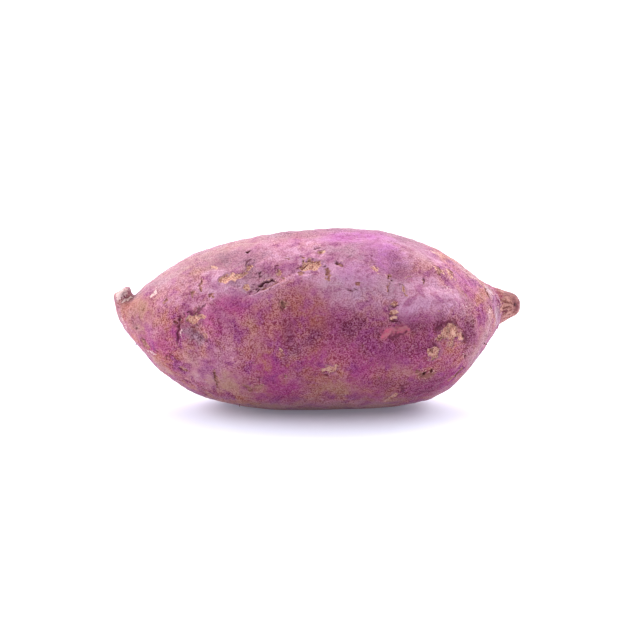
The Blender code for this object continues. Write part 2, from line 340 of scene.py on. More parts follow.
    Mark(Scar.SCAB, 1.9, ((42, -14), (44.5, -15), (43.5, -18))),
    Mark(Scar.CRACK, 0.3, ((41.5, -13), (45, -18))),
    Mark(Scar.CRACK, 0.3, ((42, -17), (45.5, -13))),
    Mark(Scar.CRACK, 0.3, ((43, -12), (43.5, -20))),
    Mark(Scar.CRACK, 0.3, ((41.5, -15), (44, -12))),
    Mark(Scar.DARK_PLUM_AND_SHADE, 0.7, ((42.5, -10), (45, -12))),
    Mark(Scar.REDDISH, 1.0, ((50.5, -22),)),
    Mark(Scar.TEAR, 0.5, ((55, -24),)),
    Mark(Scar.HOLE, 0.5, ((56, -28),)),
    Mark(Scar.BROWN, 1.5, ((37.5, -26), (40.5, -32), (44.5, -31))),
    Mark(Scar.HOLE, 0.8, ((40.5, -28), (40, -31))),
    Mark(Scar.HOLE, 0.8, ((43, -29),)),
    Mark(Scar.HOLE, 0.5, ((37.5, -25),)),
    Mark(Scar.BROWN, 1.2, ((50.5, -46), (53, -43), (55.5, -40))),
    Mark(Scar.HOLE, 0.6, ((55, -41),)),
    Mark(Scar.CRACK, 0.5, ((52.5, -46), (54, -43))),
    Mark(Scar.DARK_PLUM_AND_SHADE, 0.9, ((32, -39), (33, -45))),
    Mark(Scar.SCAB, 1.1, ((28, -50), (30, -45))),
    Mark(Scar.SCUFF, 0.8, ((26, -54), (28.5, -50))),
    Mark(Scar.BROWN, 0.8, ((22.5, -27), (23.5, -30)), 0.7),
    Mark(Scar.BROWN, 0.9, ((65, 56), (66, 34))),
    Mark(Scar.BROWN, 0.7, ((60.5, 21), (61, 17))),
    Mark(Scar.CRACK, 0.5, ((66, 19), (67.5, 6))),
    Mark(Scar.TEAR, 0.5, ((66, 11), (66, 4))),
    Mark(Scar.CRACK, 0.4, ((58.5, 8), (58.5, 1), (58.5, -7)), 0.8),
    Mark(Scar.BROWN, 0.6, ((55, 30), (56, 28)), 0.7),
    Mark(Scar.BROWN, 0.5, ((45, 13), (46.5, 13)), 0.8),
    Mark(Scar.CRACK, 0.4, ((50.5, 13), (51, 10)), 0.7),
    Mark(Scar.LINE, 0.3, ((43.5, 31), (48.5, 31), (51, 29))),
    Mark(Scar.LINE, 0.3, ((44, 28), (49.5, 25), (52.5, 20))),
    Mark(Scar.LINE, 0.3, ((46.5, 32), (50.5, 33))),
    Mark(Scar.LINE, 0.3, ((48.5, 22), (51, 19), (53, 16))),
    Mark(Scar.LINE, 0.3, ((52.5, 15), (55.5, 17), (57.5, 13))),
    Mark(Scar.LINE, 0.3, ((55, 23), (56.5, 18))),
    # The stub, the tail and the collar.
    Mark(Scar.TEAR, 0.8, ((-79.8, 10), (-79, 40), (-78, 60)), 0.9),
    Mark(Scar.DARK_PLUM_AND_SHADE, 0.5, ((-76.5, 2), (-74.5, 13)), 0.7),
    Mark(Scar.DARK_PLUM_AND_SHADE, 0.5, ((-75.5, 15), (-73.5, 26)), 0.7),
    Mark(Scar.DARK_PLUM_AND_SHADE, 0.4, ((-77, -7), (-75, 1)), 0.6),
    Mark(Scar.CRACK, 0.3, ((-72.5, 12), (-73.5, 6)), 0.6),
    Mark(Scar.TEAR, 0.6, ((-71.5, 12), (-73.5, -2), (-75.5, -12))),
    Mark(Scar.REDDISH, 0.9, ((72.5, 60), (73.5, 70)), 0.8),
    Mark(Scar.CRACK, 0.4, ((75.5, 25), (77, 12), (78.5, 6)), 0.8),
    Mark(Scar.CRACK, 0.4, ((71.5, -61), (72, -50))),
    Mark(Scar.CRACK, 0.4, ((75, -10), (77, -20), (79, -25))),
    Mark(Scar.CRACK, 0.4, ((73, 5), (75, 2))),
    Mark(Scar.BROWN, 0.7, ((76, 0), (78, -8))),
    Mark(Scar.TEAR, 0.5, ((77.5, -104), (78.8, -113)), 0.8),
    Mark(Scar.DARK_PLUM_AND_SHADE, 0.6, ((73, -35), (74, -55))),
    Mark(Scar.LIP, 0.6, ((67, 93), (70.2, 61), (71.2, 25), (71.4, -7), (70.9, -50), (70.5, -85)), 0.8),
)

STAINS = (
    # Broad lilac on the top and the upper front is partly painted light, lighter where the light falls.
    Stain(Tone.LILAC_AND_HIGHLIGHT, 12.0, ((-28, 56), (0, 54), (30, 56)), 1.05),
    Stain(Tone.LILAC_AND_HIGHLIGHT, 7.0, ((-10, 40), (12, 38), (30, 34)), 0.95),
    Stain(Tone.LILAC_AND_HIGHLIGHT, 6.0, ((-48, 24), (-42, 10)), 0.6),
    Stain(Tone.OCHRE, 6.5, ((-76.5, -20), (-71, -6), (-67, -9)), 1.4),
    Stain(Tone.RUST, 6.0, ((-78, -8), (-73, -12)), 0.9),
    # Grey and plum along the top rim are painted shade that dims the rim; ash there is painted sheen.
    Stain(Tone.GREY, 5.0, ((-45, 84), (-30, 88), (-15, 90)), 0.8),
    Stain(Tone.LILAC_AND_HIGHLIGHT, 6.0, ((-37, 38), (-36, 30), (-30, 29)), 1.5),
    Stain(Tone.LILAC_AND_HIGHLIGHT, 7.0, ((8, 42), (14, 38), (18, 32)), 1.6),
    Stain(Tone.GREY, 5.0, ((56, 20), (58, 0), (58, -14)), 0.6),
    # Painted shade dimming the top rim, in grey and plum.
    Stain(Tone.GREY, 8.0, ((-15, 90), (35, 88)), 1.1),
    Stain(Tone.PLUM, 6.0, ((-10, 88), (5, 86), (22, 86), (38, 80)), 0.6),
    Stain(Tone.ASH_AND_SHEEN, 7.0, ((-60, 58), (-52, 62), (-44, 62)), 0.45),
    Stain(Tone.OCHRE, 5.0, ((-50, 52), (-44, 56), (-38, 56)), 0.8),
    Stain(Tone.ASH_AND_SHEEN, 3.5, ((-62, 84), (-50, 88), (-36, 90)), 0.8),
    Stain(Tone.GREY, 4.5, ((-73, 35), (-68, 45), (-61, 50)), 1.0),
    Stain(Tone.GREY, 2.2, ((-79, -10), (-78, -25), (-77, -40), (-75.5, -58), (-72, -70)), 0.9),
    Stain(Tone.ASH_AND_SHEEN, 4.0, ((56, 80), (61, 74)), 0.6),
    Stain(Tone.ASH_AND_SHEEN, 4.0, ((66, 10), (65, -20), (61, -50)), 0.5),
    Stain(Tone.ASH_AND_SHEEN, 3.0, ((-22, 94), (10, 96), (36, 92)), 0.7),
    # Painted shade dimming the upper left rim.
    Stain(Tone.GREY, 3.0, ((-66, 80), (-58, 92)), 0.9),
    Stain(Tone.GREY, 5.0, ((-36, 82), (-24, 80), (-12, 80)), 0.7),
    Stain(Tone.GREY, 5.5, ((-30, 60), (-24, 56)), 0.9),
    Stain(Tone.GREY, 5.5, ((7, 60), (16, 58)), 0.9),
    Stain(Tone.PLUM, 4.0, ((57, -4), (58, -14)), 1.1),
    Stain(Tone.LILAC_AND_HIGHLIGHT, 5.0, ((-46, -26), (-36, -36)), 0.6),
    Stain(Tone.CORK, 1.8, ((-79.5, -5), (-78.5, 15), (-77, 20)), 0.6),
    Stain(Tone.GREY, 6.0, ((-56, 64), (-44, 66), (-36, 70)), 0.6),
    Stain(Tone.LILAC_AND_HIGHLIGHT, 6.0, ((-15, -60), (22, -60)), 0.7),
    # Pale fibres of the stub's cut end, also painted light that brightens its shaded front.
    Stain(Tone.PALE, 1.9, ((-77.3, 0), (-76.3, 10), (-75.3, 20)), 1.05),
    Stain(Tone.RAW, 2.4, ((25, 0), (28, 2), (33, 2)), 0.55),
    Stain(Tone.DARK_PLUM_AND_SHADE, 2.6, ((73.5, 108), (76, 122), (78, 150), (79.3, 180), (79, 215), (78, 240)), 0.75),
    Stain(Tone.LILAC_AND_HIGHLIGHT, 9.0, ((-32, 30), (-10, 30), (12, 28)), 0.55),
    Stain(Tone.GREY, 5.0, ((-31, 42), (-22, 36)), 0.9),
    Stain(Tone.OCHRE, 5.0, ((-48, -20), (-46, -36)), 0.6),
    Stain(Tone.OCHRE, 5.0, ((2, -34), (8, -38)), 0.8),
    Stain(Tone.OCHRE, 6.0, ((-62, 62), (-50, 68), (-38, 74), (-28, 80)), 0.85),
    Stain(Tone.OCHRE, 2.5, ((-66, 60), (-62, 72), (-58, 80)), 0.9),
    Stain(Tone.PALE, 1.2, ((-75.5, -37), (-74, -44)), 0.45),
    Stain(Tone.LILAC_AND_HIGHLIGHT, 4.5, ((-58.5, 41), (-50.5, 38), (-43.5, 27)), 0.8),
    Stain(Tone.OCHRE, 2.6, ((-39.5, 72), (-35, 80)), 0.9),
    Stain(Tone.OCHRE, 2.0, ((-40.5, 49),), 0.9),
    Stain(Tone.GREY, 5.0, ((-36.5, 59), (-30, 51), (-25.5, 39))),
    Stain(Tone.ASH_AND_SHEEN, 4.0, ((-36, 28), (-28, 29), (-20, 29)), 0.5),
    Stain(Tone.GREY, 2.6, ((-49, -6), (-45, -8), (-42, -9)), 1.1),
    Stain(Tone.MAGENTA, 4.2, ((-34.5, 17), (-28.5, 15))),
    Stain(Tone.LILAC_AND_HIGHLIGHT, 6.0, ((-35, 5), (-34, -10), (-38, -32)), 0.5),
    Stain(Tone.MAGENTA, 4.0, ((-39.5, 5), (-36.5, -2)), 0.9),
    Stain(Tone.MAGENTA, 2.2, ((-64.5, -4),), 0.5),
    Stain(Tone.LILAC_AND_HIGHLIGHT, 5.0, ((-57, 18), (-54, 20)), 0.7),
    Stain(Tone.MAGENTA, 3.5, ((-59, -20), (-56, -26)), 0.7),
    Stain(Tone.OCHRE, 2.6, ((-65, -46), (-61, -47), (-57, -53)), 0.8),
    Stain(Tone.OCHRE, 3.0, ((-50.5, -36), (-45, -38), (-39.5, -32)), 0.45),
    Stain(Tone.MAGENTA, 2.0, ((-44, -45),), 0.8),
    Stain(Tone.OCHRE, 5.5, ((-36.5, -38), (-28.5, -38)), 1.2),
    Stain(Tone.LILAC_AND_HIGHLIGHT, 4.5, ((-36, -15), (-29, -20)), 0.45),
    Stain(Tone.OCHRE, 4.5, ((-23.5, 3), (-20.5, -6)), 0.55),
    Stain(Tone.LILAC_AND_HIGHLIGHT, 6.0, ((-31.5, 78), (-21.5, 70), (-10.5, 60)), 0.5),
    Stain(Tone.LILAC_AND_HIGHLIGHT, 5.0, ((-13.5, 64), (-6, 65), (2, 71)), 0.9),
    Stain(Tone.OCHRE, 2.0, ((-10, 87), (-6, 84)), 0.4),
    Stain(Tone.ORCHID, 6.0, ((8.5, 74), (16.5, 75), (23.5, 75)), 0.85),
    Stain(Tone.ORCHID, 5.0, ((21, 62), (28, 60), (24, 51)), 0.8),
    Stain(Tone.RUST, 6.0, ((-9.5, 21), (-2.5, 18), (1.5, 11), (-1, 3), (-7, 5)), 1.0),
    Stain(Tone.RUST, 4.0, ((-0.5, 12), (1, 5)), 1.8),
    Stain(Tone.PLUM, 3.4, ((-10, 6), (-9.5, -5), (-4.5, -2), (-1, 2))),
    Stain(Tone.GREY, 2.2, ((-7, -8), (-12, -13)), 0.5),
    Stain(Tone.MAGENTA, 4.0, ((8.5, 12), (5.5, -4)), 0.7),
    Stain(Tone.PLUM, 6.5, ((8, 6), (18, 6), (21, -3), (26, -7)), 1.0),
    Stain(Tone.MAGENTA, 4.0, ((-16.5, -34), (-13, -43), (-9.5, -36)), 1.0),
    Stain(Tone.OCHRE, 3.0, ((-25, -35), (-20.5, -38)), 0.6),
    Stain(Tone.RUST, 4.0, ((-5, -22), (0, -26), (-3.5, -33)), 0.8),
    Stain(Tone.OCHRE, 5.0, ((7, -31), (13, -38)), 0.6),
    Stain(Tone.LILAC_AND_HIGHLIGHT, 2.5, ((4, -52), (12.5, -51)), 0.4),
    Stain(Tone.MAGENTA, 5.0, ((9.5, -9), (17.5, -17), (17, -26)), 0.8),
    Stain(Tone.PLUM, 3.6, ((8, 6), (16, 4), (24, 2)), 1.2),
    Stain(Tone.LILAC_AND_HIGHLIGHT, 6.0, ((25.5, 68), (33.5, 76), (42, 66)), 1.3),
    Stain(Tone.OCHRE, 3.5, ((36.5, 64), (43, 56)), 0.4),
    Stain(Tone.PLUM, 4.5, ((26, 46), (33, 42)), 0.6),
    Stain(Tone.GREY, 3.0, ((25, 34), (27.5, 27)), 0.6),
    Stain(Tone.GREY, 3.0, ((17, 31), (21, 26)), 0.5),
    Stain(Tone.LILAC_AND_HIGHLIGHT, 6.5, ((32, 17), (39, 21), (47, 22), (50, 22)), 1.15),
    Stain(Tone.LILAC_AND_HIGHLIGHT, 3.0, ((8, 33), (12.5, 35), (14.5, 27)), 0.7),
    Stain(Tone.LILAC_AND_HIGHLIGHT, 5.0, ((-8, 40), (2, 42)), 1.3),
    Stain(Tone.LILAC_AND_HIGHLIGHT, 4.5, ((39, 44), (45, 45), (50, 43)), 0.6),
    Stain(Tone.ASH_AND_SHEEN, 4.5, ((4, 31), (10, 31), (16, 28)), 0.5),
    Stain(Tone.ASH_AND_SHEEN, 3.5, ((26, 31), (31, 31)), 0.45),
    Stain(Tone.LILAC_AND_HIGHLIGHT, 5.0, ((28, 31), (36, 31), (43, 32)), 1.2),
    Stain(Tone.LILAC_AND_HIGHLIGHT, 4.5, ((6, 20), (15, 19), (22, 18)), 0.8),
    Stain(Tone.ORCHID, 4.5, ((52, 59), (58, 46)), 0.6),
    Stain(Tone.LILAC_AND_HIGHLIGHT, 1.6, ((25, 23), (29, 23)), 0.9),
    # Deep plum and magenta along the hollow under the right ridge are partly painted shade.
    Stain(Tone.PLUM, 3.5, ((29.5, 6), (38.5, 3), (48.5, 5)), 1.0),
    Stain(Tone.PLUM, 4.5, ((24, -7), (32, -9), (42, -8)), 0.85),
    Stain(Tone.MAGENTA, 5.0, ((21.5, -9), (31, -14), (39.5, -13)), 0.9),
    Stain(Tone.PLUM, 2.4, ((41.5, -2), (42.5, -8)), 0.8),
    Stain(Tone.GREY, 3.0, ((57, -22), (59.5, -54)), 0.6),
    Stain(Tone.OCHRE, 4.0, ((28, -18), (33.5, -26)), 0.6),
    Stain(Tone.OCHRE, 3.0, ((36.5, -36), (43, -33)), 0.6),
    Stain(Tone.MAGENTA, 4.5, ((36, -45), (41.5, -45), (47, -42)), 1.0),
    Stain(Tone.PLUM, 6.0, ((27, -34), (36, -42), (46, -38)), 0.7),
    Stain(Tone.PLUM, 4.0, ((38, -50), (45, -48)), 0.9),
    Stain(Tone.LILAC_AND_HIGHLIGHT, 4.0, ((-63, -10), (-62, -16)), 0.5),
    Stain(Tone.GREY, 3.5, ((-71, -15), (-69, -24)), 0.5),
    Stain(Tone.ASH_AND_SHEEN, 2.8, ((66.5, 64), (69, 24), (70.5, -53)), 1.0),
    Stain(Tone.OCHRE, 2.6, ((62, 42), (63.5, 26)), 0.5),
    Stain(Tone.OCHRE, 3.0, ((62, -12), (61, -31), (66, -32)), 0.6),
    Stain(Tone.BARK, 4.5, ((75, 0), (80, 0)), 1.3),
    Stain(Tone.BARK, 4.5, ((75, 120), (75, 240)), 1.3),
    Stain(Tone.BARK, 2.4, ((-79, 20), (-76, 60)), 0.5),
    Stain(Tone.RUST, 1.6, ((-73.2, 16), (-72.5, 28), (-72, 42)), 1.3),
    Stain(Tone.OCHRE, 7.0, ((-22, -62), (0, -64), (26, -62)), 0.8),
    Stain(Tone.LILAC_AND_HIGHLIGHT, 5.0, ((-33.5, 27), (-27, 31), (-20.5, 30)), 0.8),
    Stain(Tone.LILAC_AND_HIGHLIGHT, 6.0, ((-10, 41), (-2, 41)), 0.8),
    Stain(Tone.LILAC_AND_HIGHLIGHT, 6.0, ((7.5, 28), (16.5, 27), (25, 28), (32, 25)), 0.9),
    Stain(Tone.LILAC_AND_HIGHLIGHT, 4.0, ((24.5, 57), (30.5, 49)), 0.9),
    Stain(Tone.ORCHID, 3.5, ((23.5, 63), (29.5, 54)), 0.5),
    Stain(Tone.LILAC_AND_HIGHLIGHT, 6.0, ((-44.5, -37), (-36, -35)), 1.0),
    Stain(Tone.LILAC_AND_HIGHLIGHT, 4.0, ((32, 18), (39.5, 17)), 0.7),
    Stain(Tone.GREY, 2.5, ((67.5, 31), (71, -18)), 0.6),
    Stain(Tone.LILAC_AND_HIGHLIGHT, 11.0, ((-52, 140), (0, 135), (50, 145)), 0.75),
    Stain(Tone.GREY, 8.0, ((-35, 112), (5, 114), (40, 112)), 0.8),
    Stain(Tone.LILAC_AND_HIGHLIGHT, 10.0, ((-46, 215), (-10, 205)), 0.7),
    Stain(Tone.PLUM, 9.0, ((5, 180), (45, 190)), 0.7),
    Stain(Tone.PLUM, 8.0, ((-60, 175), (-28, 180)), 0.6),
    Stain(Tone.LILAC_AND_HIGHLIGHT, 9.0, ((12, 225), (48, 230)), 0.6),
    Stain(Tone.GREY, 6.0, ((-70, 150), (-66, 190), (-68, 230)), 0.7),
    Stain(Tone.GREY, 6.0, ((64, 140), (62, 190), (62, 235)), 0.7),
    Stain(Tone.GREY, 4.0, ((-67, 36), (-62.5, 32)), 0.5),
    Stain(Tone.PLUM, 5.0, ((-29.5, 60), (-24, 56)), 0.5),
    Stain(Tone.ORCHID, 5.0, ((12, 40), (16.5, 39)), 0.4),
    Stain(Tone.LILAC_AND_HIGHLIGHT, 4.0, ((-8, -27), (-3.5, -39)), 0.4),
    Stain(Tone.MAGENTA, 4.0, ((-26.5, -20), (-26, -35)), 0.4),
    Stain(Tone.RUST, 4.0, ((39.5, -33), (43, -47)), 0.5),
    Stain(Tone.MAGENTA, 4.0, ((-20.5, 5), (-18.5, -3)), 0.4),
)


def fuzz(points: np.ndarray, pitch: float, seed: float = 0.0) -> np.ndarray:
    """Smooth random values from about -1 to 1.

    Args:
        points: places in millimetres, one row each.
        pitch: how far apart the bumps lie, in millimetres.
        seed: shifts the pattern.

    Returns:
        One value for each place.
    """
    shifted = points / pitch + seed
    return np.array([noise.noise(Vector(place)) for place in shifted])


def ease(value: np.ndarray, low: float, high: float) -> np.ndarray:
    """0 up to low, 1 from high on, and an easy curve between them."""
    share = np.clip((value - low) / (high - low), 0.0, 1.0)
    return share * share * (3.0 - 2.0 * share)


def placed(name: str, data: bpy.types.ID) -> bpy.types.Object:
    """A new object in the scene, made of a mesh, a light or a camera."""
    made = bpy.data.objects.new(name, data)
    bpy.context.scene.collection.objects.link(made)
    return made


def settled(model: bpy.types.Object) -> bpy.types.Mesh:
    """The mesh that an object's modifiers make. The object itself is removed."""
    result = bpy.data.meshes.new_from_object(model.evaluated_get(bpy.context.evaluated_depsgraph_get()))
    bpy.data.objects.remove(model)
    return result


class NodeSheet:
    """Adds nodes to a tree and wires them, for materials and for Geometry Nodes."""

    def __init__(self, tree: bpy.types.NodeTree) -> None:
        """Keeps the tree that the nodes go in."""
        self.tree = tree

    def add(self, kind: str, inputs: dict | None = None, **settings: object) -> bpy.types.Node:
        """Adds one node.

        Args:
            kind: Blender's name of the node type.
            inputs: what each input gets, by name or number: a value, or a socket to wire.
            settings: the node's own settings.

        Returns:
            The node.
        """
        node = self.tree.nodes.new(kind)
        for name, value in settings.items():
            setattr(node, name, value)
        for name, value in (inputs or {}).items():
            if isinstance(value, bpy.types.NodeSocket):
                self.tree.links.new(value, node.inputs[name])
            else:
                node.inputs[name].default_value = value
        return node

    def math(self, operation: str, first: Socket | float, second: Socket | float = 0.0) -> Socket:
        """The outcome of a sum on one or two numbers."""
        return self.add("ShaderNodeMath", {0: first, 1: second}, operation=operation).outputs[0]

    def blend(self, first: Socket, second: Socket, share: float) -> Socket:
        """The first number times one less the share, plus the second times the share."""
        rest = self.math("MULTIPLY", first, 1.0 - share)
        return self.math("ADD", rest, self.math("MULTIPLY", second, share))

    def mix(self, share: Socket | float, first: Socket | Colour, second: Socket | Colour) -> Socket:
        """A colour between two: the first where share is 0, the second where it is 1."""
        inputs = {0: share, 6: first, 7: second}
        return self.add("ShaderNodeMix", inputs, data_type="RGBA", clamp_factor=True).outputs[2]

    def lighten(self, colour: Socket, amount: Socket) -> Socket:
        """A colour made lighter or darker by an even amount to the eye, so that its hue holds."""
        even = self.add("ShaderNodeGamma", {"Color": colour, "Gamma": 1.0 / 2.2})
        moved = self.add("ShaderNodeVectorMath", {0: even.outputs[0], 1: amount}, operation="ADD")
        return self.add("ShaderNodeGamma", {"Color": moved.outputs[0], "Gamma": 2.2}).outputs[0]

    def band(
        self, value: Socket, low: float, high: Socket | float, start: float = 0.0, end: float = 1.0
    ) -> Socket:
        """Maps low..high to start..end with soft ends."""
        inputs = {"Value": value, "From Min": low, "From Max": high, "To Min": start, "To Max": end}
        return self.add("ShaderNodeMapRange", inputs, interpolation_type="SMOOTHSTEP").outputs[0]


def bare_sheet(owner: bpy.types.Material | bpy.types.World) -> NodeSheet:
    """The node tree of a material or a world, emptied."""
    owner.use_nodes = True
    owner.node_tree.nodes.clear()
    return NodeSheet(owner.node_tree)


def geometry_tree(name: str, inputs: dict[str, str]) -> bpy.types.GeometryNodeTree:
    """A Geometry Nodes tree that takes a mesh and gives one back.

    Args:
        name: the tree's name.
        inputs: its further inputs, each with the kind of its socket.

    Returns:
        The tree, still empty inside.
    """
    tree = bpy.data.node_groups.new(name, "GeometryNodeTree")
    tree.interface.new_socket("Geometry", in_out="OUTPUT", socket_type="NodeSocketGeometry")
    for label, kind in {"Geometry": "Geometry", **inputs}.items():
        tree.interface.new_socket(label, in_out="INPUT", socket_type=f"NodeSocket{kind}")
    return tree


@dataclass(frozen=True)
class Grain:
    """A noise pattern laid through the root: bumps per metre, how fine it goes and how it is stretched."""

    scale: float
    detail: float = 2.0
    roughness: float = 0.5
    distortion: float = 0.0
    stretch: tuple[float, float, float] = (1.0, 1.0, 1.0)
    shift: float = 0.0

    def lay(self, sheet: NodeSheet, place: Socket) -> Socket:
        """The pattern's value at a place, about 0.5 on average."""
        mapping = {"Vector": place, "Scale": self.stretch, "Location": (self.shift,) * 3}
        moved = sheet.add("ShaderNodeMapping", mapping)
        inputs = {
            "Vector": moved.outputs[0],
            "Scale": self.scale,
            "Detail": self.detail,
            "Roughness": self.roughness,
            "Distortion": self.distortion,
        }
        return sheet.add("ShaderNodeTexNoise", inputs).outputs[0]


@dataclass(frozen=True)
class SkinFinish:
    """The root's skin: its colours, some of them painted highlight, sheen or shade, and how rough it is."""

    name: str = "purple_skin"
    plum_base: Colour = (0.250, 0.049, 0.100, 1.0)
    rose: Colour = (0.325, 0.090, 0.138, 1.0)
    umber: Colour = (0.340, 0.115, 0.084, 1.0)
    violet: Colour = (0.222, 0.038, 0.142, 1.0)
    # Pale dusty skin, also painted highlight on the top and on lit lips.
    lilac_and_highlight: Colour = (0.455, 0.222, 0.330, 1.0)
    ochre: Colour = (0.356, 0.177, 0.136, 1.0)
    # Dry greyish skin, also painted sheen along the rims.
    ash_and_sheen: Colour = (0.378, 0.245, 0.290, 1.0)
    rust: Colour = (0.290, 0.086, 0.078, 1.0)
    plum: Colour = (0.172, 0.037, 0.082, 1.0)
    magenta: Colour = (0.290, 0.045, 0.145, 1.0)
    orchid: Colour = (0.355, 0.096, 0.300, 1.0)
    grey: Colour = (0.275, 0.135, 0.180, 1.0)
    bark: Colour = (0.500, 0.242, 0.200, 1.0)
    bark_deep: Colour = (0.220, 0.075, 0.065, 1.0)
    raw: Colour = (0.500, 0.098, 0.165, 1.0)
    raw_streak: Colour = (0.430, 0.140, 0.175, 1.0)
    cork: Colour = (0.500, 0.235, 0.175, 1.0)
    cork_light: Colour = (0.640, 0.400, 0.310, 1.0)
    cork_deep: Colour = (0.240, 0.082, 0.072, 1.0)
    pale: Colour = (0.640, 0.440, 0.420, 1.0)
    # Painted shade under scab edges, and the skin's own dark plum.
    dark_plum_and_shade: Colour = (0.125, 0.022, 0.048, 1.0)
    # Dark earth and painted shade in cracks and holes.
    soil_and_shade: Colour = (0.085, 0.011, 0.016, 1.0)
    dust: float = 0.22  # how much the finest grain lightens and darkens the skin
    pore_shade: float = 0.15  # how much darker a pore is
    dull: float = 0.62  # roughness of clean skin
    bloom: float = 0.27  # sheen of the fine dust on the skin
    calm: float = 0.62  # how much of the finest grain is left on pale, tan and bright skin
    relief: float = 0.00050  # height of the finest grain, in metres
    pores: float = 650.0  # dark pores per metre

    def value(self, sheet: NodeSheet, name: str) -> Socket:
        """A value kept on the mesh."""
        return sheet.add("ShaderNodeAttribute", attribute_name=name).outputs["Fac"]

    def broken(self, sheet: NodeSheet, tone: Tone, grain: Socket, sharp: float, wander: float) -> Socket:
        """A tone's share with its edge broken up.

        Args:
            sheet: where the nodes go.
            tone: the tone.
            grain: the pattern that breaks the edge.
            sharp: how narrow the edge is.
            wander: how far the pattern moves the edge.

        Returns:
            The share, from 0 to 1.
        """
        moved = sheet.math("MULTIPLY", sheet.math("SUBTRACT", grain, 0.5), wander)
        value = sheet.math("ADD", self.value(sheet, tone.value), moved)
        return sheet.band(value, 0.5 - sharp, 0.5 + sharp)

    def ground(self, sheet: NodeSheet, drift: Socket, cloud: Socket, mottle: Socket) -> Socket:
        """The clean skin's colour: broad drifts, clouds and flecks."""
        colour = sheet.mix(sheet.band(drift, 0.38, 0.60), self.plum_base, self.rose)
        colour = sheet.mix(sheet.band(cloud, 0.50, 0.62, 0.0, 0.90), colour, self.umber)
        colour = sheet.mix(sheet.band(cloud, 0.47, 0.37, 0.0, 0.90), colour, self.magenta)
        colour = sheet.mix(sheet.band(mottle, 0.50, 0.68, 0.0, 0.85), colour, self.umber)
        return sheet.mix(sheet.band(mottle, 0.49, 0.33, 0.0, 0.85), colour, self.violet)

    def patches(self, sheet: NodeSheet, colour: Socket, edge: Socket) -> Socket:
        """Lays the soft stains over the clean skin, among them painted highlight, sheen and shade."""
        for tone, shade in (
            (Tone.LILAC_AND_HIGHLIGHT, self.lilac_and_highlight),
            (Tone.OCHRE, self.ochre),
            (Tone.ASH_AND_SHEEN, self.ash_and_sheen),
            (Tone.RUST, self.rust),
            (Tone.GREY, self.grey),
            (Tone.MAGENTA, self.magenta),
            (Tone.PLUM, self.plum),
            (Tone.ORCHID, self.orchid),
        ):
            value = self.value(sheet, tone.value)
            share = sheet.math("MULTIPLY", value, sheet.band(edge, 0.36, 0.60, 0.32, 1.0))
            colour = sheet.mix(share, colour, shade)
        return colour

    def scars(
        self, sheet: NodeSheet, colour: Socket, fleck: Socket, speck: Socket, streak: Socket
    ) -> Socket:
        """Lays bark, rubbed skin, scabs, cracks and their painted shade over the skin."""
        weave = sheet.band(sheet.blend(streak, speck, 0.4), 0.43, 0.55)
        bark_shade = sheet.mix(weave, self.bark_deep, self.bark)
        colour = sheet.mix(self.broken(sheet, Tone.BARK, fleck, 0.2, 1.5), colour, bark_shade)
        raw_shade = sheet.mix(sheet.band(streak, 0.44, 0.56), self.raw, self.raw_streak)
        rubbed = self.broken(sheet, Tone.RAW, sheet.blend(fleck, streak, 0.5), 0.4, 1.4)
        rubbed = sheet.math("MULTIPLY", rubbed, 0.95)
        colour = sheet.mix(rubbed, colour, raw_shade)
        fibre = sheet.blend(speck, fleck, 0.4)
        cork_shade = sheet.mix(sheet.band(fibre, 0.40, 0.50), self.cork_deep, self.cork)
        cork_shade = sheet.mix(sheet.band(fibre, 0.49, 0.60), cork_shade, self.cork_light)
        colour = sheet.mix(self.broken(sheet, Tone.CORK, speck, 0.15, 1.8), colour, cork_shade)
        colour = sheet.mix(self.broken(sheet, Tone.PALE, speck, 0.2, 1.8), colour, self.pale)
        # Painted shade round scabs, with the skin's own dark plum.
        dark_plum_and_shade = sheet.math("MULTIPLY", self.broken(sheet, Tone.DARK_PLUM_AND_SHADE, speck, 0.4, 1.6), 0.75)
        colour = sheet.mix(dark_plum_and_shade, colour, self.dark_plum_and_shade)
        # Dark earth and painted shade in cracks and holes.
        dark = sheet.math("MULTIPLY", self.broken(sheet, Tone.DARK, speck, 0.35, 1.4), 0.9)
        return sheet.mix(dark, colour, self.soil_and_shade)

    def make(self) -> bpy.types.Material:
        """Builds the material."""
        material = bpy.data.materials.new(self.name)
        sheet = bare_sheet(material)
        place = sheet.add("ShaderNodeTexCoord").outputs["Object"]
        drift = Grain(30, 4, 0.6).lay(sheet, place)
        cloud = Grain(80, 3, 0.66, 0.6, shift=3.0).lay(sheet, place)
        mottle = Grain(180, 2, 0.55, 0.4, shift=5.0).lay(sheet, place)
        fleck = Grain(560, 3, 0.7, shift=7.0).lay(sheet, place)
        speck = Grain(2000, 1, 0.6, shift=11.0).lay(sheet, place)
        streak = Grain(900, 2, 0.6, stretch=(0.12, 1.0, 1.0)).lay(sheet, place)

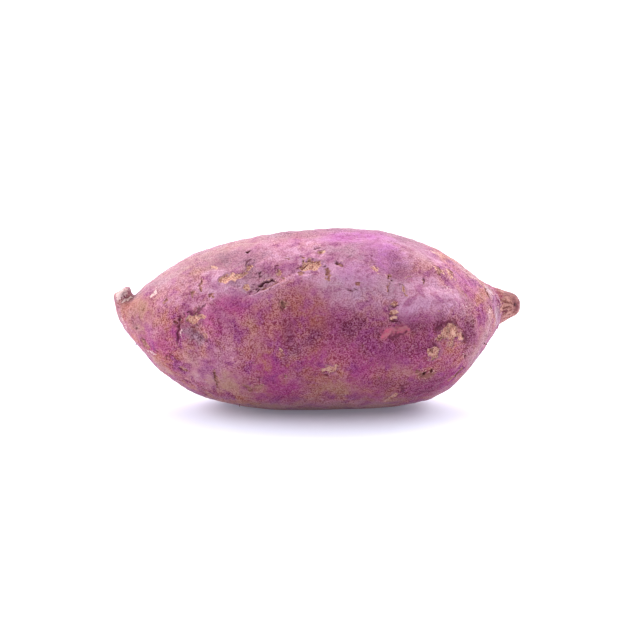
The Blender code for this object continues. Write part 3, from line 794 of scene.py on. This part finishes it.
        colour = self.ground(sheet, drift, cloud, mottle)
        colour = self.patches(sheet, colour, sheet.blend(mottle, fleck, 0.2))
        cells = {"Vector": place, "Scale": self.pores, "Randomness": 1.0}
        cell = sheet.add("ShaderNodeTexVoronoi", cells)
        pore = sheet.band(sheet.math("ADD", cell.outputs["Distance"], cell.outputs["Color"]), 0.55, 0.25)
        pore = sheet.math("MULTIPLY", pore, sheet.band(fleck, 0.40, 0.60, 0.75, 0.15))
        grain = sheet.math("SUBTRACT", sheet.band(sheet.blend(speck, fleck, 0.3), 0.36, 0.62), 0.58)
        grain = sheet.math("MULTIPLY", grain, sheet.band(cloud, 0.38, 0.58, 0.65, 1.2))
        for tone in (Tone.OCHRE, Tone.ORCHID, Tone.LILAC_AND_HIGHLIGHT):
            calm = sheet.band(self.value(sheet, tone.value), 0.1, 1.1, 1.0, self.calm)
            grain = sheet.math("MULTIPLY", grain, calm)
        dots = sheet.math("MULTIPLY", pore, self.pore_shade)
        grain = sheet.math("SUBTRACT", sheet.math("MULTIPLY", grain, self.dust), dots)
        colour = sheet.lighten(colour, grain)
        colour = self.scars(sheet, colour, fleck, speck, streak)

        height = sheet.blend(fleck, speck, 0.4)
        height = sheet.math("ADD", height, sheet.math("MULTIPLY", streak, 0.3))
        worn = sheet.math("MULTIPLY", self.value(sheet, Tone.CORK.value), 0.15)
        height = sheet.math("SUBTRACT", height, worn)
        bump = sheet.add("ShaderNodeBump", {"Height": height, "Strength": 1.0, "Distance": self.relief})
        inputs = {
            "Base Color": colour,
            "Roughness": sheet.band(speck, 0.3, 0.7, self.dull + 0.08, self.dull - 0.08),
            "Normal": bump.outputs[0],
            "Specular IOR Level": 0.08,
            "Sheen Weight": self.bloom,
            "Sheen Roughness": 0.3,
            "Sheen Tint": (1.0, 0.92, 0.98, 1.0),
        }
        shader = sheet.add("ShaderNodeBsdfPrincipled", inputs)
        sheet.add("ShaderNodeOutputMaterial", {"Surface": shader.outputs[0]})
        return material


@dataclass(frozen=True)
class Reach:
    """What lies near a route: the points' numbers, and where each lies from the route, in millimetres."""

    near: np.ndarray
    distance: np.ndarray
    along: np.ndarray  # 0 at the route's start, 1 at its end
    left: np.ndarray  # how far to the left of the route, seen from outside


class Surface:
    """The skin's points in millimetres, with what is carved into them and what colours them."""

    core = ((-80, 46), (-60, 40), (0, 35), (60, 38), (80, 41))  # height of the core along the root

    def __init__(self, mesh: bpy.types.Mesh) -> None:
        """Reads the points and their normals, and starts with no relief and no tone."""
        count = len(mesh.vertices)
        self.mesh = mesh
        self.points = self.read("co", count) / MM
        self.normals = self.read("normal", count)
        self.lift = np.zeros(count)
        self.tones = {tone: np.zeros(count) for tone in Tone}
        corners = [tuple(point) for point in self.points]
        self.tree = BVHTree.FromPolygons(corners, [tuple(face.vertices) for face in mesh.polygons])

    def read(self, what: str, count: int) -> np.ndarray:
        """One row of three numbers for each point."""
        flat = np.empty(count * 3)
        self.mesh.vertices.foreach_get(what, flat)
        return flat.reshape(count, 3)

    def on_skin(self, along: float, around: float) -> np.ndarray:
        """The point of the skin at a place along and round the root."""
        stations, heights = zip(*self.core)
        start = Vector((along, 0.0, float(np.interp(along, stations, heights))))
        turn = math.radians(around)
        hit = self.tree.ray_cast(start, Vector((0.0, -math.cos(turn), math.sin(turn))))[0]
        if hit is None:
            hit = self.tree.find_nearest(start)[0]
        return np.array(hit)

    def path(self, route: tuple[Place, ...]) -> np.ndarray:
        """Points on the skin along a route, about a millimetre apart."""
        stops = [np.array(route[0], float)]
        for start, end in zip(route, route[1:]):
            gap = math.dist(self.on_skin(*start), self.on_skin(*end))
            steps = max(1, round(gap))
            stops += [np.array(start) + (np.array(end) - start) * (k + 1) / steps for k in range(steps)]
        return np.array([self.on_skin(*stop) for stop in stops])

    def reach(self, route: tuple[Place, ...], spread: float, wobble: float = 0.0) -> Reach:
        """What lies near a route.

        Args:
            route: the places that it runs through.
            spread: how far from it still counts, in millimetres.
            wobble: how far the route strays from its straight legs, in millimetres.

        Returns:
            The points near it.
        """
        line = self.path(route)
        middle = line.mean(axis=0)
        span = np.linalg.norm(line - middle, axis=1).max() + spread
        near = np.flatnonzero(np.linalg.norm(self.points - middle, axis=1) < span)
        points = self.points[near]
        if wobble:
            drift = [fuzz(points, 1.8, seed) for seed in (21.0, 22.0, 23.0)]
            points = points + wobble * np.stack(drift, axis=1)
        if len(line) == 1:
            distance = np.linalg.norm(points - line[0], axis=1)
            return Reach(near, distance, np.full(len(near), 0.5), np.zeros(len(near)))
        start, leg = line[:-1], np.diff(line, axis=0)
        share = np.clip(((points[:, None] - start) * leg).sum(-1) / (leg * leg).sum(-1), 0.0, 1.0)
        offset = points[:, None] - (start + share[..., None] * leg)
        gaps = np.linalg.norm(offset, axis=-1)
        best = gaps.argmin(axis=1)
        rows = np.arange(len(near))
        sideways = np.cross(self.normals[near], leg[best])
        sideways /= np.linalg.norm(sideways, axis=1, keepdims=True) + 1e-9
        left = (offset[rows, best] * sideways).sum(axis=1)
        return Reach(near, gaps[rows, best], (best + share[rows, best]) / len(leg), left)

    def swell(self, swell: Swell) -> None:
        """Raises or sinks the skin softly round a route."""
        found = self.reach(swell.route, swell.radius * 2.2)
        self.lift[found.near] += swell.height * np.exp(-((found.distance / swell.radius) ** 2))

    def fold(self, fold: Fold) -> None:
        """Drops the skin to the left of a route, with a slightly raised, pale edge of painted highlight."""
        found = self.reach(fold.route, fold.radius * 2.2)
        ends = ease(found.along, 0.0, 0.15) * ease(1.0 - found.along, 0.0, 0.15)
        step = ease(found.left, -0.1, 0.8) * np.exp(-((found.distance / fold.radius) ** 2))
        edge = np.exp(-(((found.left + 0.35) / 0.5) ** 2)) * (found.distance < 3.0)
        self.lift[found.near] += fold.depth * ends * (0.25 * edge - step)
        cloudy = 1.0 + 0.6 * fuzz(self.points[found.near], 1.5, 8.0)
        # Painted highlight: pale lilac along the fold's raised edge.
        self.colour(found.near, Tone.LILAC_AND_HIGHLIGHT, fold.pale * ends * edge * cloudy)

    def stain(self, stain: Stain) -> None:
        """Colours the skin softly round a route, with a cloudy edge."""
        found = self.reach(stain.route, stain.radius * 2.2)
        edge = fuzz(self.points[found.near], stain.radius * 0.6, 5.0)
        cloudy = found.distance / stain.radius + 0.5 * edge
        self.colour(found.near, stain.tone, stain.strength * np.exp(-np.clip(cloudy, 0.0, None) ** 2))

    def colour(self, near: np.ndarray, tone: Tone, amount: np.ndarray) -> None:
        """Gives points a tone, unless they have more of it already."""
        self.tones[tone][near] = np.maximum(self.tones[tone][near], amount)

    def mark(self, mark: Mark) -> None:
        """Cuts one scar and colours it."""
        profile: Profile = mark.kind.value
        found = self.reach(mark.route, mark.half_width * 3.0 + 0.5, 0.9)
        near, points = found.near, self.points[found.near]
        width = mark.half_width * (1.0 + 0.45 * fuzz(points, 2.6, 6.0))
        if len(mark.route) > 1:
            width = width * (0.45 + 0.55 * np.sqrt(np.sin(math.pi * np.clip(found.along, 0.02, 0.98))))
        coarse = fuzz(points, max(1.0, 0.9 * mark.half_width), 2.0)
        fine = fuzz(points, max(0.5, 0.35 * mark.half_width), 3.0)
        reach = found.distance / width + profile.ragged * (coarse + 0.7 * fine)
        bowl = 1.0 - ease(reach, profile.flat, 1.15)
        ring = np.exp(-(((reach - 1.25) / 0.35) ** 2))
        depth = min(1.0, 0.45 + 0.4 * mark.half_width) * mark.strength
        inner = 0.50 + 0.20 * profile.flat
        self.lift[near] += depth * (profile.rim * ring - profile.depth * bowl)
        for tone, amount in profile.middle:
            self.colour(near, tone, amount * mark.strength * (1.0 - ease(reach, inner, inner + 0.65)))
        for tone, amount in profile.edge:
            self.colour(near, tone, amount * mark.strength * ring)

    def roughen(self) -> None:
        """Adds the root's own unevenness: lumps, dimples and lengthwise wrinkles."""
        free = ease(self.points[:, 2], 0.0, 4.0)
        lumps = 0.55 * fuzz(self.points, 24.0) + 0.32 * fuzz(self.points, 9.0, 1.0)
        dimples = 0.32 * fuzz(self.points, 4.2, 2.0) + 0.17 * fuzz(self.points, 1.9, 3.0)
        wrinkles = 0.06 * fuzz(self.points * (0.12, 1.0, 1.0), 1.6, 4.0)
        self.lift += free * (lumps + dimples + wrinkles)

    def write(self) -> None:
        """Moves the mesh's points, keeps them above the floor and stores the tones."""
        moved = self.points + self.normals * self.lift[:, None]
        moved[:, 2] = np.maximum(moved[:, 2], 0.0)
        self.mesh.vertices.foreach_set("co", (moved * MM).ravel())
        for tone, amount in self.tones.items():
            layer = self.mesh.attributes.new(tone.value, "FLOAT", "POINT")
            layer.data.foreach_set("value", amount)
        self.mesh.update()


def grown(mesh: bpy.types.Mesh, tree: bpy.types.GeometryNodeTree, values: dict) -> bpy.types.Mesh:
    """What Geometry Nodes make of a mesh.

    Args:
        mesh: the mesh to start from.
        tree: the node tree.
        values: what each named input of the tree gets.

    Returns:
        A plain mesh, with no modifier left.
    """
    model = placed("grown", mesh)
    modifier = model.modifiers.new("grow", "NODES")
    modifier.node_group = tree
    for item in tree.interface.items_tree:
        if item.in_out == "INPUT" and item.name in values:
            modifier[item.identifier] = values[item.name]
    return settled(model)


@dataclass(frozen=True)
class HiddenScars:
    """Scars and stains that are strewn over the far side and the belly."""

    seed: int = 11
    scars: int = 60
    stains: int = 34
    length: tuple[float, float] = (-64.0, 62.0)  # millimetres along the root
    turn: tuple[float, float] = (98.0, 286.0)  # degrees round it, from behind the top to under the front

    kinds: tuple[tuple[Scar, float, float], ...] = (
        (Scar.SCAB, 0.8, 2.0),
        (Scar.SCUFF, 0.9, 1.8),
        (Scar.BROWN, 0.6, 1.2),
        (Scar.CRACK, 0.4, 0.7),
        (Scar.PIT, 0.5, 1.0),
        (Scar.HOLE, 0.5, 0.9),
        (Scar.LIP, 0.5, 0.9),
    )  # each kind, with its narrowest and widest half width
    tones: tuple[Tone, ...] = (Tone.OCHRE, Tone.RUST, Tone.MAGENTA, Tone.PLUM, Tone.GREY, Tone.LILAC_AND_HIGHLIGHT)
    scar_run: float = 7.0  # the longest route of a scar and of a stain, in millimetres
    stain_run: float = 12.0
    stain_radius: tuple[float, float] = (2.5, 7.0)
    stain_strength: tuple[float, float] = (0.5, 0.9)

    def route(self, draw: random.Random, longest: float) -> tuple[Place, ...]:
        """A short route at a random place, of up to a longest length in millimetres."""
        along, around = draw.uniform(*self.length), draw.uniform(*self.turn)
        reach = draw.uniform(0.0, longest)
        lean = draw.uniform(-0.5, 0.5)
        return ((along, around), (along + reach, around + 1.6 * reach * lean))

    def strew(self) -> tuple[list[Mark], list[Stain]]:
        """The scars and the stains, the same each time."""
        draw = random.Random(self.seed)
        marks = []
        for _ in range(self.scars):
            kind, narrow, wide = draw.choice(self.kinds)
            marks.append(Mark(kind, draw.uniform(narrow, wide), self.route(draw, self.scar_run)))
        stains = []
        for _ in range(self.stains):
            tone = draw.choice(self.tones)
            radius, route = draw.uniform(*self.stain_radius), self.route(draw, self.stain_run)
            stains.append(Stain(tone, radius, route, draw.uniform(*self.stain_strength)))
        return marks, stains


@dataclass
class Tuber:
    """The root's skin, with its stub and tail, as one closed mesh."""

    node: str = "sweet_potato"
    name: str = "tuber_skin"
    voxel: float = 0.90 * MM  # pitch of the grid that the skin is laid on
    finest: float = 0.95  # scars up to this half width, in millimetres, get the finest mesh
    margin: float = 0.7  # how far past a scar's edge the finer mesh and the finest reach, in millimetres
    finest_margin: float = 0.4
    pore_gap: float = 2.6 * MM
    pore_radius: float = 1.3 * MM
    pore_depth: float = 0.16 * MM
    pore_seed: int = 5
    pore_density: float = 400000.0  # tries for each square metre, before those too close are dropped
    finish: SkinFinish = field(default_factory=SkinFinish)
    hidden: HiddenScars = field(default_factory=HiddenScars)

    def blank(self) -> bpy.types.Mesh:
        """A smooth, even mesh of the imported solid's shape."""
        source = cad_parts[self.node]
        mesh = source.data.copy()
        work = bmesh.new()
        work.from_mesh(mesh)
        bmesh.ops.remove_doubles(work, verts=work.verts, dist=0.001 * MM)
        turn = math.radians(40)
        limits = {"angle_face_threshold": turn, "angle_shape_threshold": turn}
        bmesh.ops.join_triangles(work, faces=work.faces, **limits)
        work.to_mesh(mesh)
        work.free()
        model = placed("blank", mesh)
        rounded = model.modifiers.new("rounded", "SUBSURF")
        rounded.levels = rounded.render_levels = 2
        even = model.modifiers.new("even", "REMESH")
        even.mode = "VOXEL"
        even.voxel_size = self.voxel
        calm = model.modifiers.new("calm", "SMOOTH")
        calm.factor = 0.5
        calm.iterations = 4
        return settled(model)

    def refine(self, mesh: bpy.types.Mesh, marks: list[Mark], margin: float) -> None:
        """Halves the faces near the scars.

        Args:
            mesh: the skin.
            marks: the scars.
            margin: how far past a scar's edge the faces are halved, in millimetres.
        """
        surface = Surface(mesh)
        close = np.zeros(len(mesh.vertices), bool)
        for mark in marks:
            found = surface.reach(mark.route, mark.half_width + margin)
            close[found.near[found.distance < mark.half_width + margin]] = True
        work = bmesh.new()
        work.from_mesh(mesh)
        work.verts.ensure_lookup_table()
        edges = [edge for edge in work.edges if all(close[corner.index] for corner in edge.verts)]
        bmesh.ops.subdivide_edges(work, edges=edges, cuts=1, use_grid_fill=True)
        work.to_mesh(mesh)
        work.free()

    def pore_tree(self) -> bpy.types.GeometryNodeTree:
        """The tree that sets seeded pores into a skin and stores how deep each point lies in one."""
        lengths = {"Gap": "Float", "Radius": "Float", "Depth": "Float"}
        tree = geometry_tree("skin_pores", {**lengths, "Seed": "Int", "Material": "Material"})
        sheet = NodeSheet(tree)
        given = sheet.add("NodeGroupInput").outputs
        spread = {
            "Mesh": given["Geometry"],
            "Distance Min": given["Gap"],
            "Density Max": self.pore_density,
            "Seed": given["Seed"],
        }
        pores = sheet.add("GeometryNodeDistributePointsOnFaces", spread, distribute_method="POISSON")
        place = sheet.add("GeometryNodeInputPosition").outputs[0]
        middles = {"Geometry": pores.outputs["Points"]}
        nearest = sheet.add("GeometryNodeSampleNearest", middles, domain="POINT")
        index = nearest.outputs["Index"]
        lookup = {"Geometry": pores.outputs["Points"], "Value": place, "Index": index}
        pore = sheet.add("GeometryNodeSampleIndex", lookup, data_type="FLOAT_VECTOR")
        gap = sheet.add("ShaderNodeVectorMath", {0: place, 1: pore.outputs[0]}, operation="DISTANCE")
        sizes = {"Min": 0.25, "Max": 1.0, "ID": index, "Seed": given["Seed"]}
        size = sheet.add("FunctionNodeRandomValue", sizes)
        radius = sheet.math("MULTIPLY", given["Radius"], size.outputs["Value"])
        pit = sheet.band(gap.outputs["Value"], 0.0, radius, 1.0, 0.0)
        sunk = sheet.math("MULTIPLY", sheet.math("MULTIPLY", pit, given["Depth"]), -1.0)
        normal = sheet.add("GeometryNodeInputNormal").outputs[0]
        inward = sheet.add("ShaderNodeVectorMath", {0: normal, "Scale": sunk}, operation="SCALE").outputs[0]
        keep = {"Geometry": given["Geometry"], "Name": "pore", "Value": pit}
        stored = sheet.add("GeometryNodeStoreNamedAttribute", keep, data_type="FLOAT", domain="POINT")
        moved = sheet.add("GeometryNodeSetPosition", {"Geometry": stored.outputs[0], "Offset": inward})
        real = sheet.add("GeometryNodeRealizeInstances", {"Geometry": moved.outputs[0]})
        dressed = sheet.add(
            "GeometryNodeSetMaterial", {"Geometry": real.outputs[0], "Material": given["Material"]}
        )
        sheet.add("NodeGroupOutput", {"Geometry": dressed.outputs[0]})
        return tree

    def build(self) -> bpy.types.Object:
        """Lays, carves and dresses the skin."""
        hidden_marks, hidden_stains = self.hidden.strew()
        marks = [*MARKS, *hidden_marks]
        mesh = self.blank()
        self.refine(mesh, MARKS, self.margin)
        narrow = [mark for mark in MARKS if mark.half_width < self.finest]
        self.refine(mesh, narrow, self.finest_margin)
        surface = Surface(mesh)
        for swell in SWELLS:
            surface.swell(swell)
        for fold in FOLDS:
            surface.fold(fold)
        for stain in (*STAINS, *hidden_stains):
            surface.stain(stain)
        for mark in marks:
            surface.mark(mark)
        surface.roughen()
        surface.write()
        values = {
            "Gap": self.pore_gap,
            "Radius": self.pore_radius,
            "Depth": self.pore_depth,
            "Seed": self.pore_seed,
            "Material": self.finish.make(),
        }
        mesh = grown(mesh, self.pore_tree(), values)
        mesh.shade_smooth()
        skin = placed(self.name, mesh)
        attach(skin, "root")
        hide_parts(self.node)
        return skin


@dataclass(frozen=True)
class HairFinish:
    """The dry brown of the root hairs."""

    name: str = "dry_rootlet"
    light: Colour = (0.240, 0.110, 0.095, 1.0)
    dark: Colour = (0.060, 0.020, 0.026, 1.0)

    def make(self) -> bpy.types.Material:
        """Builds the material."""
        material = bpy.data.materials.new(self.name)
        sheet = bare_sheet(material)
        place = sheet.add("ShaderNodeTexCoord").outputs["Object"]
        grain = Grain(1200, 2, 0.6).lay(sheet, place)
        colour = sheet.mix(sheet.band(grain, 0.42, 0.60), self.dark, self.light)
        inputs = {"Base Color": colour, "Roughness": 0.8, "Specular IOR Level": 0.15}
        shader = sheet.add("ShaderNodeBsdfPrincipled", inputs)
        sheet.add("ShaderNodeOutputMaterial", {"Surface": shader.outputs[0]})
        return material


@dataclass
class RootHairs:
    """The dried stumps of fine rootlets that stand out of the skin."""

    name: str = "root_hairs"
    seen: tuple[Place, ...] = ((-30, -62), (66, -22), (64, -36), (78, -40), (-70, -62), (20, -20))
    strewn: int = 12  # more of them, on the far side
    strewn_length: tuple[float, float] = (-66.0, 64.0)  # millimetres along the root
    strewn_turn: tuple[float, float] = (110.0, 280.0)  # degrees round it
    length: float = 1.5 * MM
    seed: int = 4
    finish: HairFinish = field(default_factory=HairFinish)

    def feet(self, skin: bpy.types.Mesh) -> bpy.types.Mesh:
        """The places where the stumps stand, each with the way that it points."""
        surface = Surface(skin)
        draw = random.Random(self.seed)
        places = [*self.seen]
        for _ in range(self.strewn):
            places.append((draw.uniform(*self.strewn_length), draw.uniform(*self.strewn_turn)))
        spots = [surface.on_skin(*place) for place in places]
        outward = np.array([surface.tree.find_nearest(Vector(spot))[1] for spot in spots])
        mesh = bpy.data.meshes.new(self.name)
        mesh.from_pydata([tuple(spot * MM) for spot in spots], [], [])
        mesh.attributes.new("outward", "FLOAT_VECTOR", "POINT").data.foreach_set("vector", outward.ravel())
        return mesh

    def tree(self) -> bpy.types.GeometryNodeTree:
        """The tree that stands one bent, tapering stump on each point."""
        tree = geometry_tree("rootlets", {"Length": "Float", "Seed": "Int", "Material": "Material"})
        sheet = NodeSheet(tree)
        given = sheet.add("NodeGroupInput").outputs
        bend = {
            "Start": (0.0, 0.0, -0.3),
            "Middle": (0.05, 0.0, 0.6),
            "End": (0.45, 0.1, 1.0),
            "Resolution": 5,
        }
        stem = sheet.add("GeometryNodeCurveQuadraticBezier", bend).outputs[0]
        share = sheet.add("GeometryNodeSplineParameter").outputs["Factor"]
        taper = sheet.add("ShaderNodeMapRange", {"Value": share, "To Min": 1.0, "To Max": 0.35}).outputs[0]
        ring = sheet.add("GeometryNodeCurvePrimitiveCircle", {"Resolution": 7, "Radius": 0.16}).outputs[0]
        parts = {"Curve": stem, "Profile Curve": ring, "Scale": taper, "Fill Caps": True}
        stump = sheet.add("GeometryNodeCurveToMesh", parts).outputs[0]
        label = {"Name": "outward"}
        outward = sheet.add("GeometryNodeInputNamedAttribute", label, data_type="FLOAT_VECTOR")
        facing = {"Vector": outward.outputs["Attribute"]}
        turn = sheet.add("FunctionNodeAlignRotationToVector", facing, axis="Z").outputs[0]
        lean = {"Min": (-0.6, -0.6, -3.1), "Max": (0.6, 0.6, 3.1), "Seed": given["Seed"]}
        lean_turn = sheet.add("FunctionNodeRandomValue", lean, data_type="FLOAT_VECTOR").outputs["Value"]
        spin = {"Rotation": turn, "Rotate By": lean_turn}
        turned = sheet.add("FunctionNodeRotateRotation", spin, rotation_space="LOCAL").outputs[0]
        sizes = {"Min": 0.5, "Max": 1.2, "Seed": given["Seed"]}
        size = sheet.add("FunctionNodeRandomValue", sizes, data_type="FLOAT").outputs["Value"]
        scale = sheet.math("MULTIPLY", size, given["Length"])
        stand = {"Points": given["Geometry"], "Instance": stump, "Rotation": turned, "Scale": scale}
        stumps = sheet.add("GeometryNodeInstanceOnPoints", stand).outputs[0]
        real = sheet.add("GeometryNodeRealizeInstances", {"Geometry": stumps}).outputs[0]
        dressed = sheet.add("GeometryNodeSetMaterial", {"Geometry": real, "Material": given["Material"]})
        sheet.add("NodeGroupOutput", {"Geometry": dressed.outputs[0]})
        return tree

    def build(self, skin: bpy.types.Object) -> bpy.types.Object:
        """Stands the stumps on the skin and dresses them."""
        values = {"Length": self.length, "Seed": self.seed, "Material": self.finish.make()}
        mesh = grown(self.feet(skin.data), self.tree(), values)
        hairs = placed(self.name, mesh)
        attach(hairs, "root")
        return hairs


@dataclass(frozen=True)
class Lamp:
    """A wide soft light, far away: its strength, its spread, and where it stands, in degrees.

    Azimuth 0 is the front, 90 the right and 180 behind the root. Height is above the horizon.
    """

    name: str
    strength: float
    spread: float
    azimuth: float
    height: float

    def hang(self) -> None:
        """Puts the light in the scene."""
        data = bpy.data.lights.new(self.name, "SUN")
        data.energy = self.strength
        data.angle = math.radians(self.spread)
        turn, rise = math.radians(self.azimuth), math.radians(self.height)
        source = Vector((math.sin(turn) * math.cos(rise), -math.cos(turn) * math.cos(rise), math.sin(rise)))
        placed(self.name, data).rotation_euler = source.to_track_quat("Z", "Y").to_euler()


@dataclass
class Studio:
    """A white floor, four wide soft lights, a pale ceiling and the camera."""

    elevation: float = 12.0  # degrees that the camera looks down
    lens: float = 90.0
    sensor: float = 36.0
    frame_width: float = 0.2510  # metres seen across the picture, at the root
    aim: tuple[float, float, float] = (0.0010, 0.0, 0.0344)
    floor_size: float = 30.0
    ceiling: Colour = (0.60, 0.60, 0.62, 1.0)
    walls: Colour = (0.03, 0.03, 0.03, 1.0)
    table: Colour = (0.68, 0.70, 0.80, 1.0)
    table_light: Colour = (0.126, 0.126, 0.150, 1.0)  # the white table is lit faintly from below
    lamps: tuple[Lamp, ...] = (  # strengths rounded from a fit made outside this script, then adjusted
        Lamp("left_softbox", 4.2, 50.0, -90.0, 24.0),
        Lamp("right_softbox", 2.7, 50.0, 90.0, 24.0),
        Lamp("left_back_softbox", 2.9, 50.0, -140.0, 40.0),
        Lamp("right_back_softbox", 3.5, 50.0, 140.0, 40.0),
    )

    def floor(self) -> bpy.types.Object:
        """The white floor."""
        half = self.floor_size / 2
        mesh = bpy.data.meshes.new("studio_floor")
        corners = [(-half, -half, 0), (half, -half, 0), (half, half, 0), (-half, half, 0)]
        mesh.from_pydata(corners, [], [(0, 1, 2, 3)])
        material = bpy.data.materials.new("white_paper")
        material.use_nodes = True
        shader = material.node_tree.nodes["Principled BSDF"]
        shader.inputs["Base Color"].default_value = self.table
        shader.inputs["Emission Color"].default_value = self.table_light
        shader.inputs["Emission Strength"].default_value = 1.0
        shader.inputs["Roughness"].default_value = 1.0
        shader.inputs["Specular IOR Level"].default_value = 0.0
        mesh.materials.append(material)
        floor = placed("studio_floor", mesh)
        return floor

    def light(self) -> None:
        """The lamps and the light from the ceiling."""
        for lamp in self.lamps:
            lamp.hang()
        world = bpy.data.worlds.new("pale_room")
        sheet = bare_sheet(world)
        way = sheet.add("ShaderNodeTexCoord").outputs["Generated"]
        rise = sheet.add("ShaderNodeSeparateXYZ", {0: way}).outputs["Z"]
        room = sheet.mix(sheet.band(rise, 0.42, 0.58), self.walls, self.ceiling)
        background = sheet.add("ShaderNodeBackground", {"Color": room})
        sheet.add("ShaderNodeOutputWorld", {"Surface": background.outputs[0]})
        bpy.context.scene.world = world

    def camera(self) -> None:
        """The camera, looking at the root from its front and a little above."""
        tilt = math.radians(self.elevation)
        back = Vector((0.0, -math.cos(tilt), math.sin(tilt)))
        data = bpy.data.cameras.new("camera")
        data.lens = self.lens
        data.sensor_width = self.sensor
        data.clip_end = 100.0
        camera = placed("camera", data)
        camera.location = Vector(self.aim) + back * (self.frame_width * self.lens / self.sensor)
        camera.rotation_euler = (-back).to_track_quat("-Z", "Y").to_euler()
        bpy.context.scene.camera = camera
        bpy.context.scene.view_settings.view_transform = "Standard"


def main() -> None:
    """Builds the studio and the root, and reports each piece."""
    logging.basicConfig(level=logging.INFO, format="%(name)s: %(message)s")
    studio = Studio()
    studio.camera()
    studio.light()
    studio.floor()
    skin = Tuber().build()
    LOG.info("%s: %d faces", skin.name, len(skin.data.polygons))
    hairs = RootHairs().build(skin)
    LOG.info("%s: %d faces", hairs.name, len(hairs.data.polygons))


if __name__ == "__main__":
    main()
